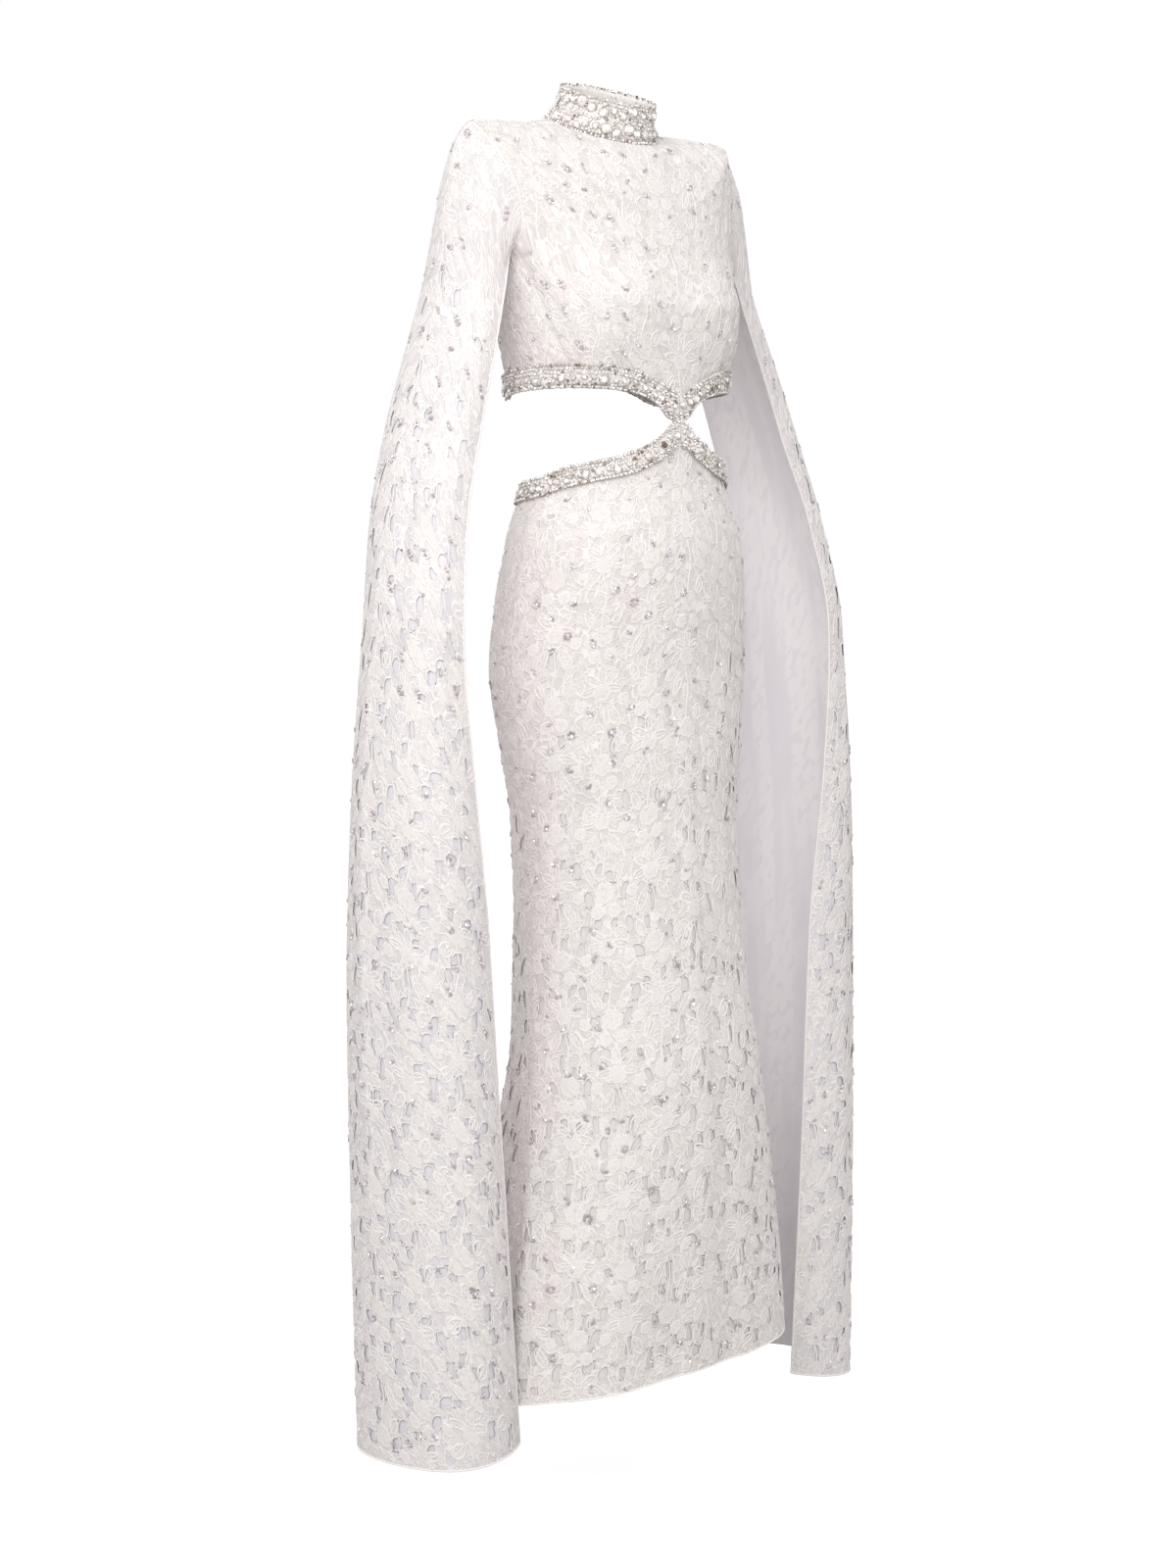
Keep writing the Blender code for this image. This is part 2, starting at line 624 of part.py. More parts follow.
def make_wall(name, outer, normals, thickness, finish, closed=False, gaps=frozenset(), stone_height=0.0):
    """Named object holding one closed cloth wall."""
    wall = Wall(outer, normals, thickness, closed)
    wall.fill(gaps, (LEAF_LEAN, -LEAF_LEAN, 0.0), stone_height)
    wall.close_edges()
    mesh = bpy.data.meshes.new(name)
    wall.mesh.to_mesh(mesh)
    wall.mesh.free()
    mesh.materials.append(make_material(name + "_finish", finish))
    item = bpy.data.objects.new(name, mesh)
    bpy.context.scene.collection.objects.link(item)
    return item


def sleeve_gaps(rows, columns):
    """Cells of a sleeve that hold the largest gap of each lace repeat."""
    cells = set()
    for r in range(SLEEVE_FIRST_GAP_ROW, rows - 1):
        for c in range(1 + r % 2, columns - 1, 3 + r % 2):
            cells.add((r, c))
    return cells


def skirt_gaps(rows, columns):
    """Cells of a skirt panel that hold the largest gap of each lace repeat."""
    cells = set()
    for r in range(SKIRT_FIRST_GAP_ROW, rows - 1):
        for c in range(1 + r % 2, columns - 1, 3):
            cells.add((r, c))
    return cells


def make_pair(names, grids, thickness, finish, gaps=(frozenset(), frozenset()), stone_height=0.0):
    """Two walls that meet at both of their ends."""
    normals = paired_normals(*grids)
    for name, grid, directions, cells in zip(names, grids, normals, gaps):
        make_wall(name, grid, directions, thickness, finish, gaps=cells, stone_height=stone_height)


def build_bodice():
    """Front and back of the cropped bodice."""
    grids = (bodice_grid(FRONT_COLUMNS, 0), bodice_grid(BACK_COLUMNS, 180))
    make_pair(("bodice_front", "bodice_back"), grids, LACE_THICKNESS, LACE)


def build_skirt():
    """Front and back of the trumpet skirt, each a cut lace wall over a plain lining."""
    lace = (skirt_grid(FRONT_COLUMNS, 0), skirt_grid(BACK_COLUMNS, 180))
    cells = [skirt_gaps(len(grid) - 1, len(grid[0]) - 1) for grid in lace]
    make_pair(("skirt_lace_front", "skirt_lace_back"), lace, LACE_THICKNESS, LACE, cells)
    lining = [lining_grid(grid, normals) for grid, normals in zip(lace, paired_normals(*lace))]
    make_pair(("skirt_lining_front", "skirt_lining_back"), lining, LINING_THICKNESS, SKIRT_LINING)


def build_sleeves():
    """Left and right open cape sleeve, each a cut lace wall over a plain lining."""
    lace = sleeve_grid()
    cells = sleeve_gaps(len(lace) - 1, len(lace[0]) - 1)
    lining = lining_grid(lace, grid_normals(lace, False))
    mirrored_cells = {(r, len(lace[0]) - 2 - c) for r, c in cells}
    for name, outer, finish, thickness, gaps, mirrored_gaps in (
            ("sleeve_lace", lace, LACE, LACE_THICKNESS, cells, mirrored_cells),
            ("sleeve_lining", lining, SLEEVE_LINING, LINING_THICKNESS, frozenset(), frozenset())):
        mirrored = mirror_grid(outer)
        make_wall(name + "_left", outer, grid_normals(outer, False), thickness, finish, gaps=gaps)
        make_wall(name + "_right", mirrored, grid_normals(mirrored, False), thickness, finish,
                  gaps=mirrored_gaps)


def build_bands():
    """Jewelled collar and the four halves of the two waist bands that cross at the front."""
    collar = collar_grid()
    make_wall("collar", collar, grid_normals(collar, True), BAND_THICKNESS, JEWELS, closed=True,
              stone_height=BAND_STONE_HEIGHT)
    for level, place in (("upper", bodice_band_point), ("lower", skirt_band_point)):
        names = ("band_" + level + "_left", "band_" + level + "_right")
        make_pair(names, (band_grid(place, 1), band_grid(place, -1)), BAND_THICKNESS, JEWELS,
                  stone_height=BAND_STONE_HEIGHT)


def main():
    """Build every piece of the dress."""
    clear_objects()
    build_bodice()
    build_skirt()
    build_sleeves()
    build_bands()


main()
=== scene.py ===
"""Looks of the long lace dress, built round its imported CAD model.

The dress has a jewelled stand collar, a cropped bodice, open cape sleeves, a trumpet skirt and a
waist that is open all round but for a crossing in front. Every form repeats the sizes of the CAD
part in metres: the front looks along -Y, the wearer's left is +X, and an angle round the body runs
from 0 at the front centre through 90 at the wearer's left side to 180 at the back centre.
"""

import logging  # noqa: E402
import math  # noqa: E402
from dataclasses import dataclass, field, replace  # noqa: E402
from enum import Enum  # noqa: E402
from functools import cache  # noqa: E402

import bpy  # noqa: E402
import numpy as np  # noqa: E402
from mathutils import Matrix, Vector  # noqa: E402


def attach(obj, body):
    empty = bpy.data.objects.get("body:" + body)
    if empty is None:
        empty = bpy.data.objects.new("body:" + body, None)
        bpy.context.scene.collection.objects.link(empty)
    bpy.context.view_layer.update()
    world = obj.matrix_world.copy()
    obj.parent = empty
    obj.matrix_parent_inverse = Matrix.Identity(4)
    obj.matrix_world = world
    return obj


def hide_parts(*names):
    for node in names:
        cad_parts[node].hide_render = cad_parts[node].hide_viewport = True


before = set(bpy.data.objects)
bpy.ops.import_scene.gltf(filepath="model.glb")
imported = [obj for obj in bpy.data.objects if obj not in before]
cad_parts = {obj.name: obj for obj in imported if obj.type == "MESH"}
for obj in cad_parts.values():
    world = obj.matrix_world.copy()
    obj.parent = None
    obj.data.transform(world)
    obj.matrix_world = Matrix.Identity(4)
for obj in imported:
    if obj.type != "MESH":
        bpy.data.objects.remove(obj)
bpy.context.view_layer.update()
LOG = logging.getLogger("long_dress")
Array = np.ndarray
Socket = bpy.types.NodeSocket
Colour = tuple[float, float, float, float]
WHITE: Colour = (1.0, 1.0, 1.0, 1.0)
TINY = 1e-12


class Side(Enum):
    """Side of the wearer."""

    LEFT = 1
    RIGHT = -1


class Half(Enum):
    """Front or back half of a body panel, by the angle of its middle."""

    FRONT = 0.0
    BACK = 180.0


class Slot(Enum):
    """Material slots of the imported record."""

    LACE = "lace"
    SLEEVE_LINING = "sleeve_lining"
    SKIRT_LINING = "skirt_lining"
    JEWELS = "jewelled_band"


# Curves and grids


def signed_power(value: Array, power: Array) -> Array:
    """Power of a number's size, with the number's sign."""
    return np.sign(value) * np.abs(value) ** power


def soft_hump(distance: Array, half_width: float) -> Array:
    """Rounded bump from 1 at its middle to almost 0 at two half widths."""
    return np.exp(-((distance / half_width) ** 2))


def through_rows(places: Array, rows: Array, at: Array) -> Array:
    """Smooth curve through rows of values, free of overshoot.

    Args:
        places: Rising place of each row.
        rows: Values, one row for each place.
        at: Places at which the curve is read.

    Returns:
        One row of values for each place read.
    """
    tail = (1,) * (rows.ndim - 1)
    steps = np.diff(places).reshape((-1,) + tail)
    slopes = np.diff(rows, axis=0) / steps
    before, after = slopes[:-1], slopes[1:]
    total = before + after
    safe = np.where(np.abs(total) < TINY, 1.0, total)
    inner = np.where(before * after > 0, 2 * before * after / safe, 0.0)
    tangents = np.concatenate([slopes[:1], inner, slopes[-1:]])
    at = np.clip(at, places[0], places[-1])
    index = np.clip(np.searchsorted(places, at, side="right") - 1, 0, len(places) - 2)
    apart = places[index + 1] - places[index]
    gap = apart.reshape(at.shape + tail)
    t = ((at - places[index]) / apart).reshape(at.shape + tail)
    start = (1 + 2 * t) * (1 - t) ** 2 * rows[index] + t * (1 - t) ** 2 * gap * tangents[index]
    end = t * t * (3 - 2 * t) * rows[index + 1] + t * t * (t - 1) * gap * tangents[index + 1]
    return start + end


def read_grid(grid: Array, row: Array, column: Array) -> Array:
    """Value of a grid between its points.

    Args:
        grid: Values in rows and columns, with any number of parts each.
        row: Row places, whole or between rows.
        column: Column places, whole or between columns.

    Returns:
        The values there.
    """
    row = np.clip(row, 0, grid.shape[0] - 1.000001)
    column = np.clip(column, 0, grid.shape[1] - 1.000001)
    r, c = row.astype(int), column.astype(int)
    a, b = row - r, column - c
    if grid.ndim == 3:
        a, b = a[..., None], b[..., None]
    upper = grid[r, c] * (1 - b) + grid[r, c + 1] * b
    lower = grid[r + 1, c] * (1 - b) + grid[r + 1, c + 1] * b
    return upper * (1 - a) + lower * a


def unit(vectors: Array) -> Array:
    """Vectors at a length of 1."""
    return vectors / np.maximum(np.linalg.norm(vectors, axis=-1, keepdims=True), TINY)


@dataclass(frozen=True)
class Table:
    """Rows of named sizes, with a smooth curve through each column."""

    names: tuple[str, ...]
    rows: tuple[tuple[float, ...], ...]

    def column(self, name: str) -> Array:
        """Values of one named column."""
        return np.array([row[self.names.index(name)] for row in self.rows], dtype=float)

    def read(self, name: str, at: Array) -> Array:
        """Value of one named column at places along the first column."""
        places = self.column(self.names[0])
        values = self.column(name)
        order = np.argsort(places)
        return through_rows(places[order], values[order], np.asarray(at, dtype=float))


@dataclass(frozen=True)
class Crease:
    """Soft ridge or trough laid along a cloth form.

    Its middle runs from start to end, as (share across, share down). A height below 0 is a trough.
    """

    start: tuple[float, float]
    end: tuple[float, float]
    half_width: float
    height: float


class ClothForm:
    """Smooth surface of one panel, with places on it in metres across and down."""

    TABLE_STEPS = 600
    PLACING_ROUNDS = 3

    def __init__(self, points: Array, creases: tuple[Crease, ...] = (),
                 columns: int = 161) -> None:
        """Keep a panel's points, evenly spaced across, with its creases worked in.

        Args:
            points: Outer points, row by row from the top, with columns that run to the wearer's
                left on the front.
            creases: Ridges and troughs laid on the panel.
            columns: Number of columns kept.
        """
        self.points = np.stack([self._even(row, columns) for row in points])
        for crease in creases:
            self._press(crease)
        self.normals = self._outward()
        self.rows, self.columns = self.points.shape[:2]
        steps = np.linalg.norm(np.diff(self.points, axis=1), axis=2)
        self.width = steps.sum(axis=1)
        falls = np.linalg.norm(np.diff(self.points, axis=0), axis=2)
        self.fall = np.concatenate([np.zeros((1, self.columns)), np.cumsum(falls, axis=0)])
        self.length = float(self.fall[-1].max())
        levels = np.linspace(0, self.length, self.TABLE_STEPS)
        every = np.arange(self.rows)
        self.row_at = np.stack([np.interp(levels, fall, every) for fall in self.fall.T], axis=1)

    @staticmethod
    def _even(row: Array, columns: int) -> Array:
        """Row of points at even distances along itself."""
        steps = np.linalg.norm(np.diff(row, axis=0), axis=1)
        along = np.concatenate([[0.0], np.cumsum(steps)])
        wanted = np.linspace(0, along[-1], columns)
        return np.stack([np.interp(wanted, along, row[:, axis]) for axis in range(3)], axis=1)

    def _outward(self) -> Array:
        """Outward direction at every point."""
        down = np.gradient(self.points, axis=0)
        along = np.gradient(self.points, axis=1)
        return unit(np.cross(down, along))

    def _press(self, crease: Crease) -> None:
        """Work one crease into the points."""
        rows, columns = self.points.shape[:2]
        across = np.linspace(0, 1, columns)[None, :]
        down = np.linspace(0, 1, rows)[:, None]
        share = (down - crease.start[1]) / (crease.end[1] - crease.start[1])
        middle = crease.start[0] + (crease.end[0] - crease.start[0]) * share
        depth = np.where((share > 0) & (share < 1),
                         np.sin(np.pi * np.clip(share, 0, 1)) ** 0.7, 0.0)
        lift = crease.height * depth * soft_hump(across - middle, crease.half_width)
        self.points = self.points + self._outward() * lift[..., None]

    def locate(self, across: Array, down: Array) -> tuple[Array, Array]:
        """Grid places of points given in metres.

        Args:
            across: Metres from the panel's middle line.
            down: Metres below its top edge.

        Returns:
            Row places and column places.
        """
        level = np.clip(down / self.length, 0, 1) * (self.TABLE_STEPS - 1)
        column = np.full(np.shape(across), (self.columns - 1) / 2.0)
        row = read_grid(self.row_at, level, column)
        for _ in range(self.PLACING_ROUNDS):
            width = np.interp(row, np.arange(self.rows), self.width)
            column = np.clip(across / width + 0.5, 0, 1) * (self.columns - 1)
            row = read_grid(self.row_at, level, column)
        return row, column

    def place(self, across: Array, down: Array,
              lift: Array | float = 0.0) -> tuple[Array, Array]:
        """Points on the panel, or lifted off it.

        Args:
            across: Metres from the panel's middle line.
            down: Metres below its top edge.
            lift: Metres outwards from the panel.

        Returns:
            The points and their outward directions.
        """
        row, column = self.locate(across, down)
        normals = unit(read_grid(self.normals, row, column))
        raised = normals * np.asarray(lift)[..., None] if np.ndim(lift) else normals * lift
        return read_grid(self.points, row, column) + raised, normals

    def covers(self, across: Array, down: Array, margin: float) -> Array:
        """Whether places lie on the panel and a margin away from its edges."""
        row, column = self.locate(across, down)
        width = np.interp(row, np.arange(self.rows), self.width)
        end = np.interp(column, np.arange(self.columns), self.fall[-1])
        return (np.abs(across) < width / 2 - margin) & (down > margin) & (down < end - margin)

    def moved_in(self, top: float, hem: float) -> "ClothForm":
        """Panel that lies inside this one, by one distance at the top and another at the hem."""
        share = np.linspace(top, hem, self.rows)[:, None, None]
        return ClothForm(self.points - self.normals * share, columns=self.columns)

    def mirrored(self) -> "ClothForm":
        """The same panel for the other side of the body."""
        return ClothForm(self.points[:, ::-1] * np.array([-1.0, 1.0, 1.0]), columns=self.columns)

    def edge(self, row: int | None = None, column: int | None = None) -> tuple[Array, Array]:
        """Points along one row or one column, with their outward directions."""
        if row is not None:
            return self.points[row], self.normals[row]
        return self.points[:, column], self.normals[:, column]

    def cells(self, cell: float) -> tuple[tuple[int, int], Array, Array]:
        """Even grid of points on the panel.

        Args:
            cell: Size of its cells, about.

        Returns:
            Its rows and columns, its points, and their places across and down.
        """
        shape = round(self.length / cell) + 1, round(float(self.width.max()) / cell) + 1
        r = np.linspace(0, self.rows - 1, shape[0])
        c = np.linspace(0, self.columns - 1, shape[1])
        row, column = (a.ravel() for a in np.meshgrid(r, c, indexing="ij"))
        width = np.interp(row, np.arange(self.rows), self.width)
        across = (column / (self.columns - 1) - 0.5) * width
        places = np.stack([across, read_grid(self.fall, row, column)], axis=1)
        return shape, read_grid(self.points, row, column), places


def add_object(name: str, data: bpy.types.ID) -> bpy.types.Object:
    """Add an object to the scene."""
    item = bpy.data.objects.new(name, data)
    bpy.context.scene.collection.objects.link(item)
    return item


def grid_faces(rows: int, columns: int) -> Array:
    """Faces between a grid's points that look the way of down crossed with along."""
    r, c = np.meshgrid(np.arange(rows - 1), np.arange(columns - 1), indexing="ij")
    first = (r * columns + c).ravel()
    return np.stack([first, first + columns, first + columns + 1, first + 1], axis=1)


# Joined meshes


@dataclass
class MeshParts:
    """Points and faces gathered for one joined mesh."""

    points: list[Array] = field(default_factory=list)
    uvs: list[Array] = field(default_factory=list)
    faces: list[Array] = field(default_factory=list)
    finishes: list[Array] = field(default_factory=list)
    painted_glints: list[Array] = field(default_factory=list)
    count: int = 0

    def add(self, points: Array, faces: Array, uvs: Array | None = None,
            finish: Array | int = 0, glint: Array | None = None) -> None:
        """Add one part.

        Args:
            points: Its points.
            faces: Its faces as rows of three or four point numbers.
            uvs: Two texture lengths in metres for each point, or None.
            finish: Number of its material on the joined mesh, for the part or for each face.
            glint: Painted reflection brightness of each face, or None.
        """
        if len(faces) == 0:
            return
        if faces.shape[1] == 3:
            faces = np.concatenate([faces, np.full((len(faces), 1), -1 - self.count)], axis=1)
        self.points.append(points)
        self.uvs.append(np.zeros((len(points), 2)) if uvs is None else uvs)
        self.faces.append(faces + self.count)
        self.finishes.append(np.broadcast_to(finish, len(faces)))
        self.painted_glints.append(np.ones(len(faces)) if glint is None else glint)
        self.count += len(points)

    def piece(self, name: str, looks: tuple["Look", ...], slot: Slot, *nodes: str,
              smooth: bool = True) -> bpy.types.Object:
        """Make the joined object as a piece of the dress.

        Args:
            name: Name of the piece.
            looks: Its finishes in the order of the parts' numbers.
            slot: Not used.
            *nodes: Nodes of the CAD part that it stands for.
            smooth: Whether its faces are shaded smooth.

        Returns:
            The object, which rides on the body.
        """
        points = np.concatenate(self.points)
        faces = np.concatenate(self.faces)
        used = faces[faces >= 0]
        keep = np.zeros(len(points), dtype=bool)
        keep[used] = True
        corners = (np.cumsum(keep) - 1)[used]
        sizes = np.where(faces[:, 3] >= 0, 4, 3)
        mesh = bpy.data.meshes.new(name)
        mesh.vertices.add(int(keep.sum()))
        mesh.vertices.foreach_set("co", points[keep].astype(np.float32).ravel())
        mesh.loops.add(len(corners))
        mesh.loops.foreach_set("vertex_index", corners.astype(np.int32))
        finishes = np.concatenate(self.finishes)
        mesh.polygons.add(len(faces))
        mesh.polygons.foreach_set("loop_start", (np.cumsum(sizes) - sizes).astype(np.int32))
        mesh.polygons.foreach_set("material_index", finishes.astype(np.int32))
        mesh.polygons.foreach_set("use_smooth", np.full(len(faces), smooth))
        mesh.update(calc_edges=True)
        uvs = np.concatenate(self.uvs)[keep][corners]
        mesh.uv_layers.new(name="cut").data.foreach_set("uv", uvs.astype(np.float32).ravel())
        # Painted reflection: each face's painted brightness is stored as a colour layer that the
        # stone finishes read.
        glint = np.repeat(np.concatenate(self.painted_glints), sizes)
        shade = mesh.color_attributes.new(name="glint", type="FLOAT_COLOR", domain="CORNER")
        rgba = np.stack([glint, glint, glint, np.ones(len(glint))], axis=1)
        shade.data.foreach_set("color", rgba.astype(np.float32).ravel())
        for look in looks:
            mesh.materials.append(look.material())
        item = add_object(name, mesh)
        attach(item, "root")
        if nodes:
            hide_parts(*nodes)
        LOG.info("%s: %d faces", name, len(faces))
        return item


# Finishes


class NodeBench:
    """Adds and links the nodes of one material."""

    def __init__(self, name: str) -> None:
        """Start a material with its principled shader."""
        self.material = bpy.data.materials.new(name)
        self.material.use_nodes = True
        self.tree = self.material.node_tree
        self.shader = self.tree.nodes["Principled BSDF"]

    def node(self, kind: str, settings: dict | None = None, **inputs: object) -> bpy.types.Node:
        """Add one node.

        Args:
            kind: Node type after "ShaderNode".
            settings: Values of the node itself.
            **inputs: Value or linked socket of each input, where in0 is the first input.

        Returns:
            The node.
        """
        node = self.tree.nodes.new("ShaderNode" + kind)
        for key, value in (settings or {}).items():
            setattr(node, key, value)
        for key, value in inputs.items():
            short = key[2:] if key.startswith("in") and key[2:].isdigit() else None
            socket = node.inputs[int(short)] if short else node.inputs[key.replace("_", " ")]
            self.feed(socket, value)
        return node

    def feed(self, socket: Socket, value: object) -> None:
        """Link a socket to another, or set its value."""
        if isinstance(value, Socket):
            self.tree.links.new(value, socket)
        else:
            socket.default_value = value

    def math(self, operation: str, first: object, second: object) -> Socket:
        """Result of one sum."""
        return self.node("Math", {"operation": operation}, in0=first, in1=second).outputs[0]

    def times(self, first: object, second: object) -> Socket:
        """Product of two values."""
        return self.math("MULTIPLY", first, second)

    def plus(self, first: object, second: object) -> Socket:
        """Sum of two values."""
        return self.math("ADD", first, second)

    def band(self, value: object, low: float, high: float) -> Socket:
        """Smooth step of a value from 0 at low to 1 at high."""
        step = {"interpolation_type": "SMOOTHSTEP", "clamp": True}
        node = self.node("MapRange", step, Value=value, From_Min=low, From_Max=high)
        return node.outputs["Result"]

    def blend(self, share: object, first: object, second: object) -> Socket:
        """Colour between two others."""
        node = self.node("Mix", {"data_type": "RGBA"}, Factor=share, in6=first, in7=second)
        return node.outputs[2]

    def noise(self, scale: float, detail: float, fall: float = 1.0) -> Socket:
        """Soft noise at a scale per metre of the flat cut, with its fall stretched."""
        place = self.cut(fall)
        return self.node("TexNoise", Vector=place, Scale=scale, Detail=detail).outputs[0]

    def cut(self, fall: float = 1.0) -> Socket:
        """Places on the flat cut in metres, with their fall stretched."""
        place = self.node("UVMap", {"uv_map": "cut"}).outputs[0]
        return self.node("Mapping", Vector=place, Scale=(1.0, fall, 1.0)).outputs[0]

    def attribute(self, kind: str, output: str) -> Socket:
        """One output of a node that tells about the point or the ray."""
        return self.node(kind).outputs[output]

    def bump(self, height: object, strength: float, distance: float) -> None:
        """Give the shader a bump from a height."""
        node = self.node("Bump", Height=height, Strength=strength, Distance=distance)
        self.feed(self.shader.inputs["Normal"], node.outputs[0])

    def finish(self, **values: object) -> bpy.types.Material:
        """Set the shader's own sockets and give back the material."""
        for key, value in values.items():
            self.feed(self.shader.inputs[key.replace("_", " ")], value)
        return self.material


@dataclass(frozen=True)
class LaceFinish:
    """Matt lace cloth: pale thread, shaded thread and its dust of pinholes."""

    name: str
    thread: Colour
    shade: Colour
    pinhole: Colour
    pinhole_share: float = 0.6
    pinhole_scale: float = 270.0
    mottle_scale: float = 120.0
    relief: float = 0.0004
    sheen: float = 0.15
    bump: float = 0.6

    def body(self, bench: NodeBench) -> tuple[Socket, Socket]:
        """Colour and height of the plain cloth."""
        mottle = bench.noise(self.mottle_scale, 3.0)
        drift = bench.noise(14.0, 1.0)
        holes = bench.node("TexVoronoi", {"feature": "F1"}, Vector=bench.cut(),
                           Scale=self.pinhole_scale)
        dots = bench.band(holes.outputs["Distance"], 0.34, 0.16)
        dust = bench.times(dots, bench.band(mottle, 0.40, 0.56))
        tone = bench.math("MAXIMUM", bench.band(mottle, 0.40, 0.72), bench.band(drift, 0.50, 0.80))
        cloth = bench.blend(tone, self.thread, self.shade)
        colour = bench.blend(bench.times(dust, self.pinhole_share), cloth, self.pinhole)
        strands = bench.noise(900.0, 1.0, fall=0.35)
        height = bench.plus(bench.times(mottle, 0.6), bench.times(strands, 0.3))
        return colour, bench.math("SUBTRACT", height, bench.times(dust, 0.8))

    def surface(self, bench: NodeBench) -> tuple[Socket, Socket]:
        """Colour and height of the finished cloth."""
        return self.body(bench)

    def material(self) -> bpy.types.Material:
        """Material of the finish."""
        bench = NodeBench(self.name)
        colour, height = self.surface(bench)
        bench.bump(height, self.bump, self.relief)
        return bench.finish(Base_Color=colour, Roughness=0.82, Sheen_Weight=self.sheen,
                            Sheen_Roughness=0.5)


@dataclass(frozen=True)
class PetalGroundFinish(LaceFinish):
    """Lace ground of small corded petals, some of them worked as open net, with a thin line of
    painted shade beside each cord.
    """

    bump: float = 0.7
    cord: Colour = (0.93, 0.886, 0.864, 1)
    open_net: Colour = WHITE
    open_share: float = 0.30
    petal_scale: float = 122.0
    petal_stretch: float = 0.84
    warp: float = 0.018
    warp_scale: float = 48.0

    def surface(self, bench: NodeBench) -> tuple[Socket, Socket]:
        """Colour and height of the finished cloth."""
        cloth, height = self.body(bench)
        place = bench.cut(self.petal_stretch)
        swirl = bench.node("TexNoise", Vector=place, Scale=self.warp_scale, Detail=1.0)
        shift = bench.node("VectorMath", {"operation": "MULTIPLY_ADD"}, in0=swirl.outputs["Color"],
                           in1=(self.warp, self.warp, 0.0), in2=place).outputs[0]
        rim, cells = (bench.node("TexVoronoi", {"feature": feature}, Vector=shift,
                                 Scale=self.petal_scale) for feature in ("DISTANCE_TO_EDGE", "F1"))
        away = rim.outputs["Distance"]
        draw = bench.node("SeparateColor", Color=cells.outputs["Color"]).outputs[0]
        cord = bench.band(away, 0.090, 0.045)
        # Painted shade: a thin darker line beside each cord, blended towards the shade colour.
        painted_furrow_shade = bench.times(bench.band(away, 0.07, 0.11), bench.band(away, 0.20, 0.12))
        opened = bench.band(draw, 1.0 - self.open_share, 1.02 - self.open_share)
        net = bench.times(opened, bench.band(away, 0.08, 0.13))
        netted = bench.blend(bench.times(net, 0.85), cloth, self.open_net)
        furrow_shaded = bench.blend(bench.times(painted_furrow_shade, 0.7), netted, self.shade)
        colour = bench.blend(bench.times(cord, 0.8), furrow_shaded, self.cord)
        return colour, bench.math("SUBTRACT", bench.plus(height, bench.times(cord, 1.6)), net)


@dataclass(frozen=True)
class LiningFinish:
    """Soft woven lining with long streaks along its fall. Its inner face is painted lighter, as
    painted light in the shaded inside, and the lace shows through it.
    """

    name: str
    cloth: Colour
    streak: Colour
    # Painted light: the inner face's colours are lighter than the outer face's, standing in for
    # light inside the sleeves and skirt.
    inside: Colour = (0.97, 0.94, 0.95, 1)
    painted_lit_inside_streak: Colour = (0.885, 0.85, 0.885, 1)

    def material(self) -> bpy.types.Material:
        """Material of the finish."""
        bench = NodeBench(self.name)
        streaks = bench.noise(34.0, 2.0, fall=0.07)
        clouds = bench.noise(9.0, 2.0)
        weave = bench.noise(1500.0, 1.0, fall=0.2)
        share = bench.times(bench.band(streaks, 0.42, 0.60), bench.band(clouds, 0.30, 0.55))
        motifs = bench.noise(92.0, 3.0, fall=0.65)
        shown = bench.math("MAXIMUM", share, bench.times(bench.band(motifs, 0.50, 0.60), 0.75))
        # Painted light: the face seen from within takes the lighter inner colours, with the lace's
        # motifs showing through as darker marks.
        colour = bench.blend(bench.attribute("NewGeometry", "Backfacing"),
                             bench.blend(share, self.cloth, self.streak),
                             bench.blend(shown, self.inside, self.painted_lit_inside_streak))
        bench.bump(bench.plus(bench.times(streaks, 2.5), bench.times(weave, 0.25)), 0.35, 0.0006)
        return bench.finish(Base_Color=colour, Roughness=0.62, Sheen_Weight=0.25,
                            Sheen_Roughness=0.4)


@dataclass(frozen=True)
class StoneFinish:
    """Cut stone whose facets are painted brighter or darker, as painted reflections."""

    name: str
    bright: Colour
    dark: Colour
    metallic: float
    roughness: float = 0.07
    haze: float = 0.06

    def material(self) -> bpy.types.Material:
        """Material of the finish."""
        bench = NodeBench(self.name)
        # Painted reflection: each facet's colour runs from the dark to the bright colour by its
        # painted brightness.
        glint = bench.node("Attribute", {"attribute_name": "glint"}).outputs["Fac"]
        rough = bench.plus(bench.times(bench.noise(800.0, 1.0), self.haze), self.roughness)
        return bench.finish(Base_Color=bench.blend(glint, self.dark, self.bright),
                            Metallic=self.metallic, Roughness=rough, IOR=1.7)


@dataclass(frozen=True)
class SettingFinish:
    """Worn silver of the stones' settings."""

    name: str
    metal: Colour
    tarnish: Colour

    def material(self) -> bpy.types.Material:
        """Material of the finish."""
        bench = NodeBench(self.name)
        wear = bench.noise(260.0, 3.0)
        colour = bench.blend(bench.band(wear, 0.40, 0.68), self.metal, self.tarnish)
        bench.bump(wear, 0.4, 0.0003)
        return bench.finish(Base_Color=colour, Metallic=0.55, Roughness=0.34)


@dataclass(frozen=True)
class SparkleFinish:
    """Painted white highlight of a stone: its table glows by its own emission, though it is no
    lamp.
    """

    name: str
    haze: Colour = (0.92, 0.92, 0.94, 1)
    painted_glow: float = 0.45

    def material(self) -> bpy.types.Material:
        """Material of the finish."""
        bench = NodeBench(self.name)
        colour = bench.blend(bench.times(bench.noise(500.0, 1.0), 0.3), WHITE, self.haze)
        # Painted highlight: a white colour with emission, so the table glows.
        return bench.finish(Base_Color=colour, Roughness=0.08, Emission_Color=WHITE,
                            Emission_Strength=self.painted_glow)


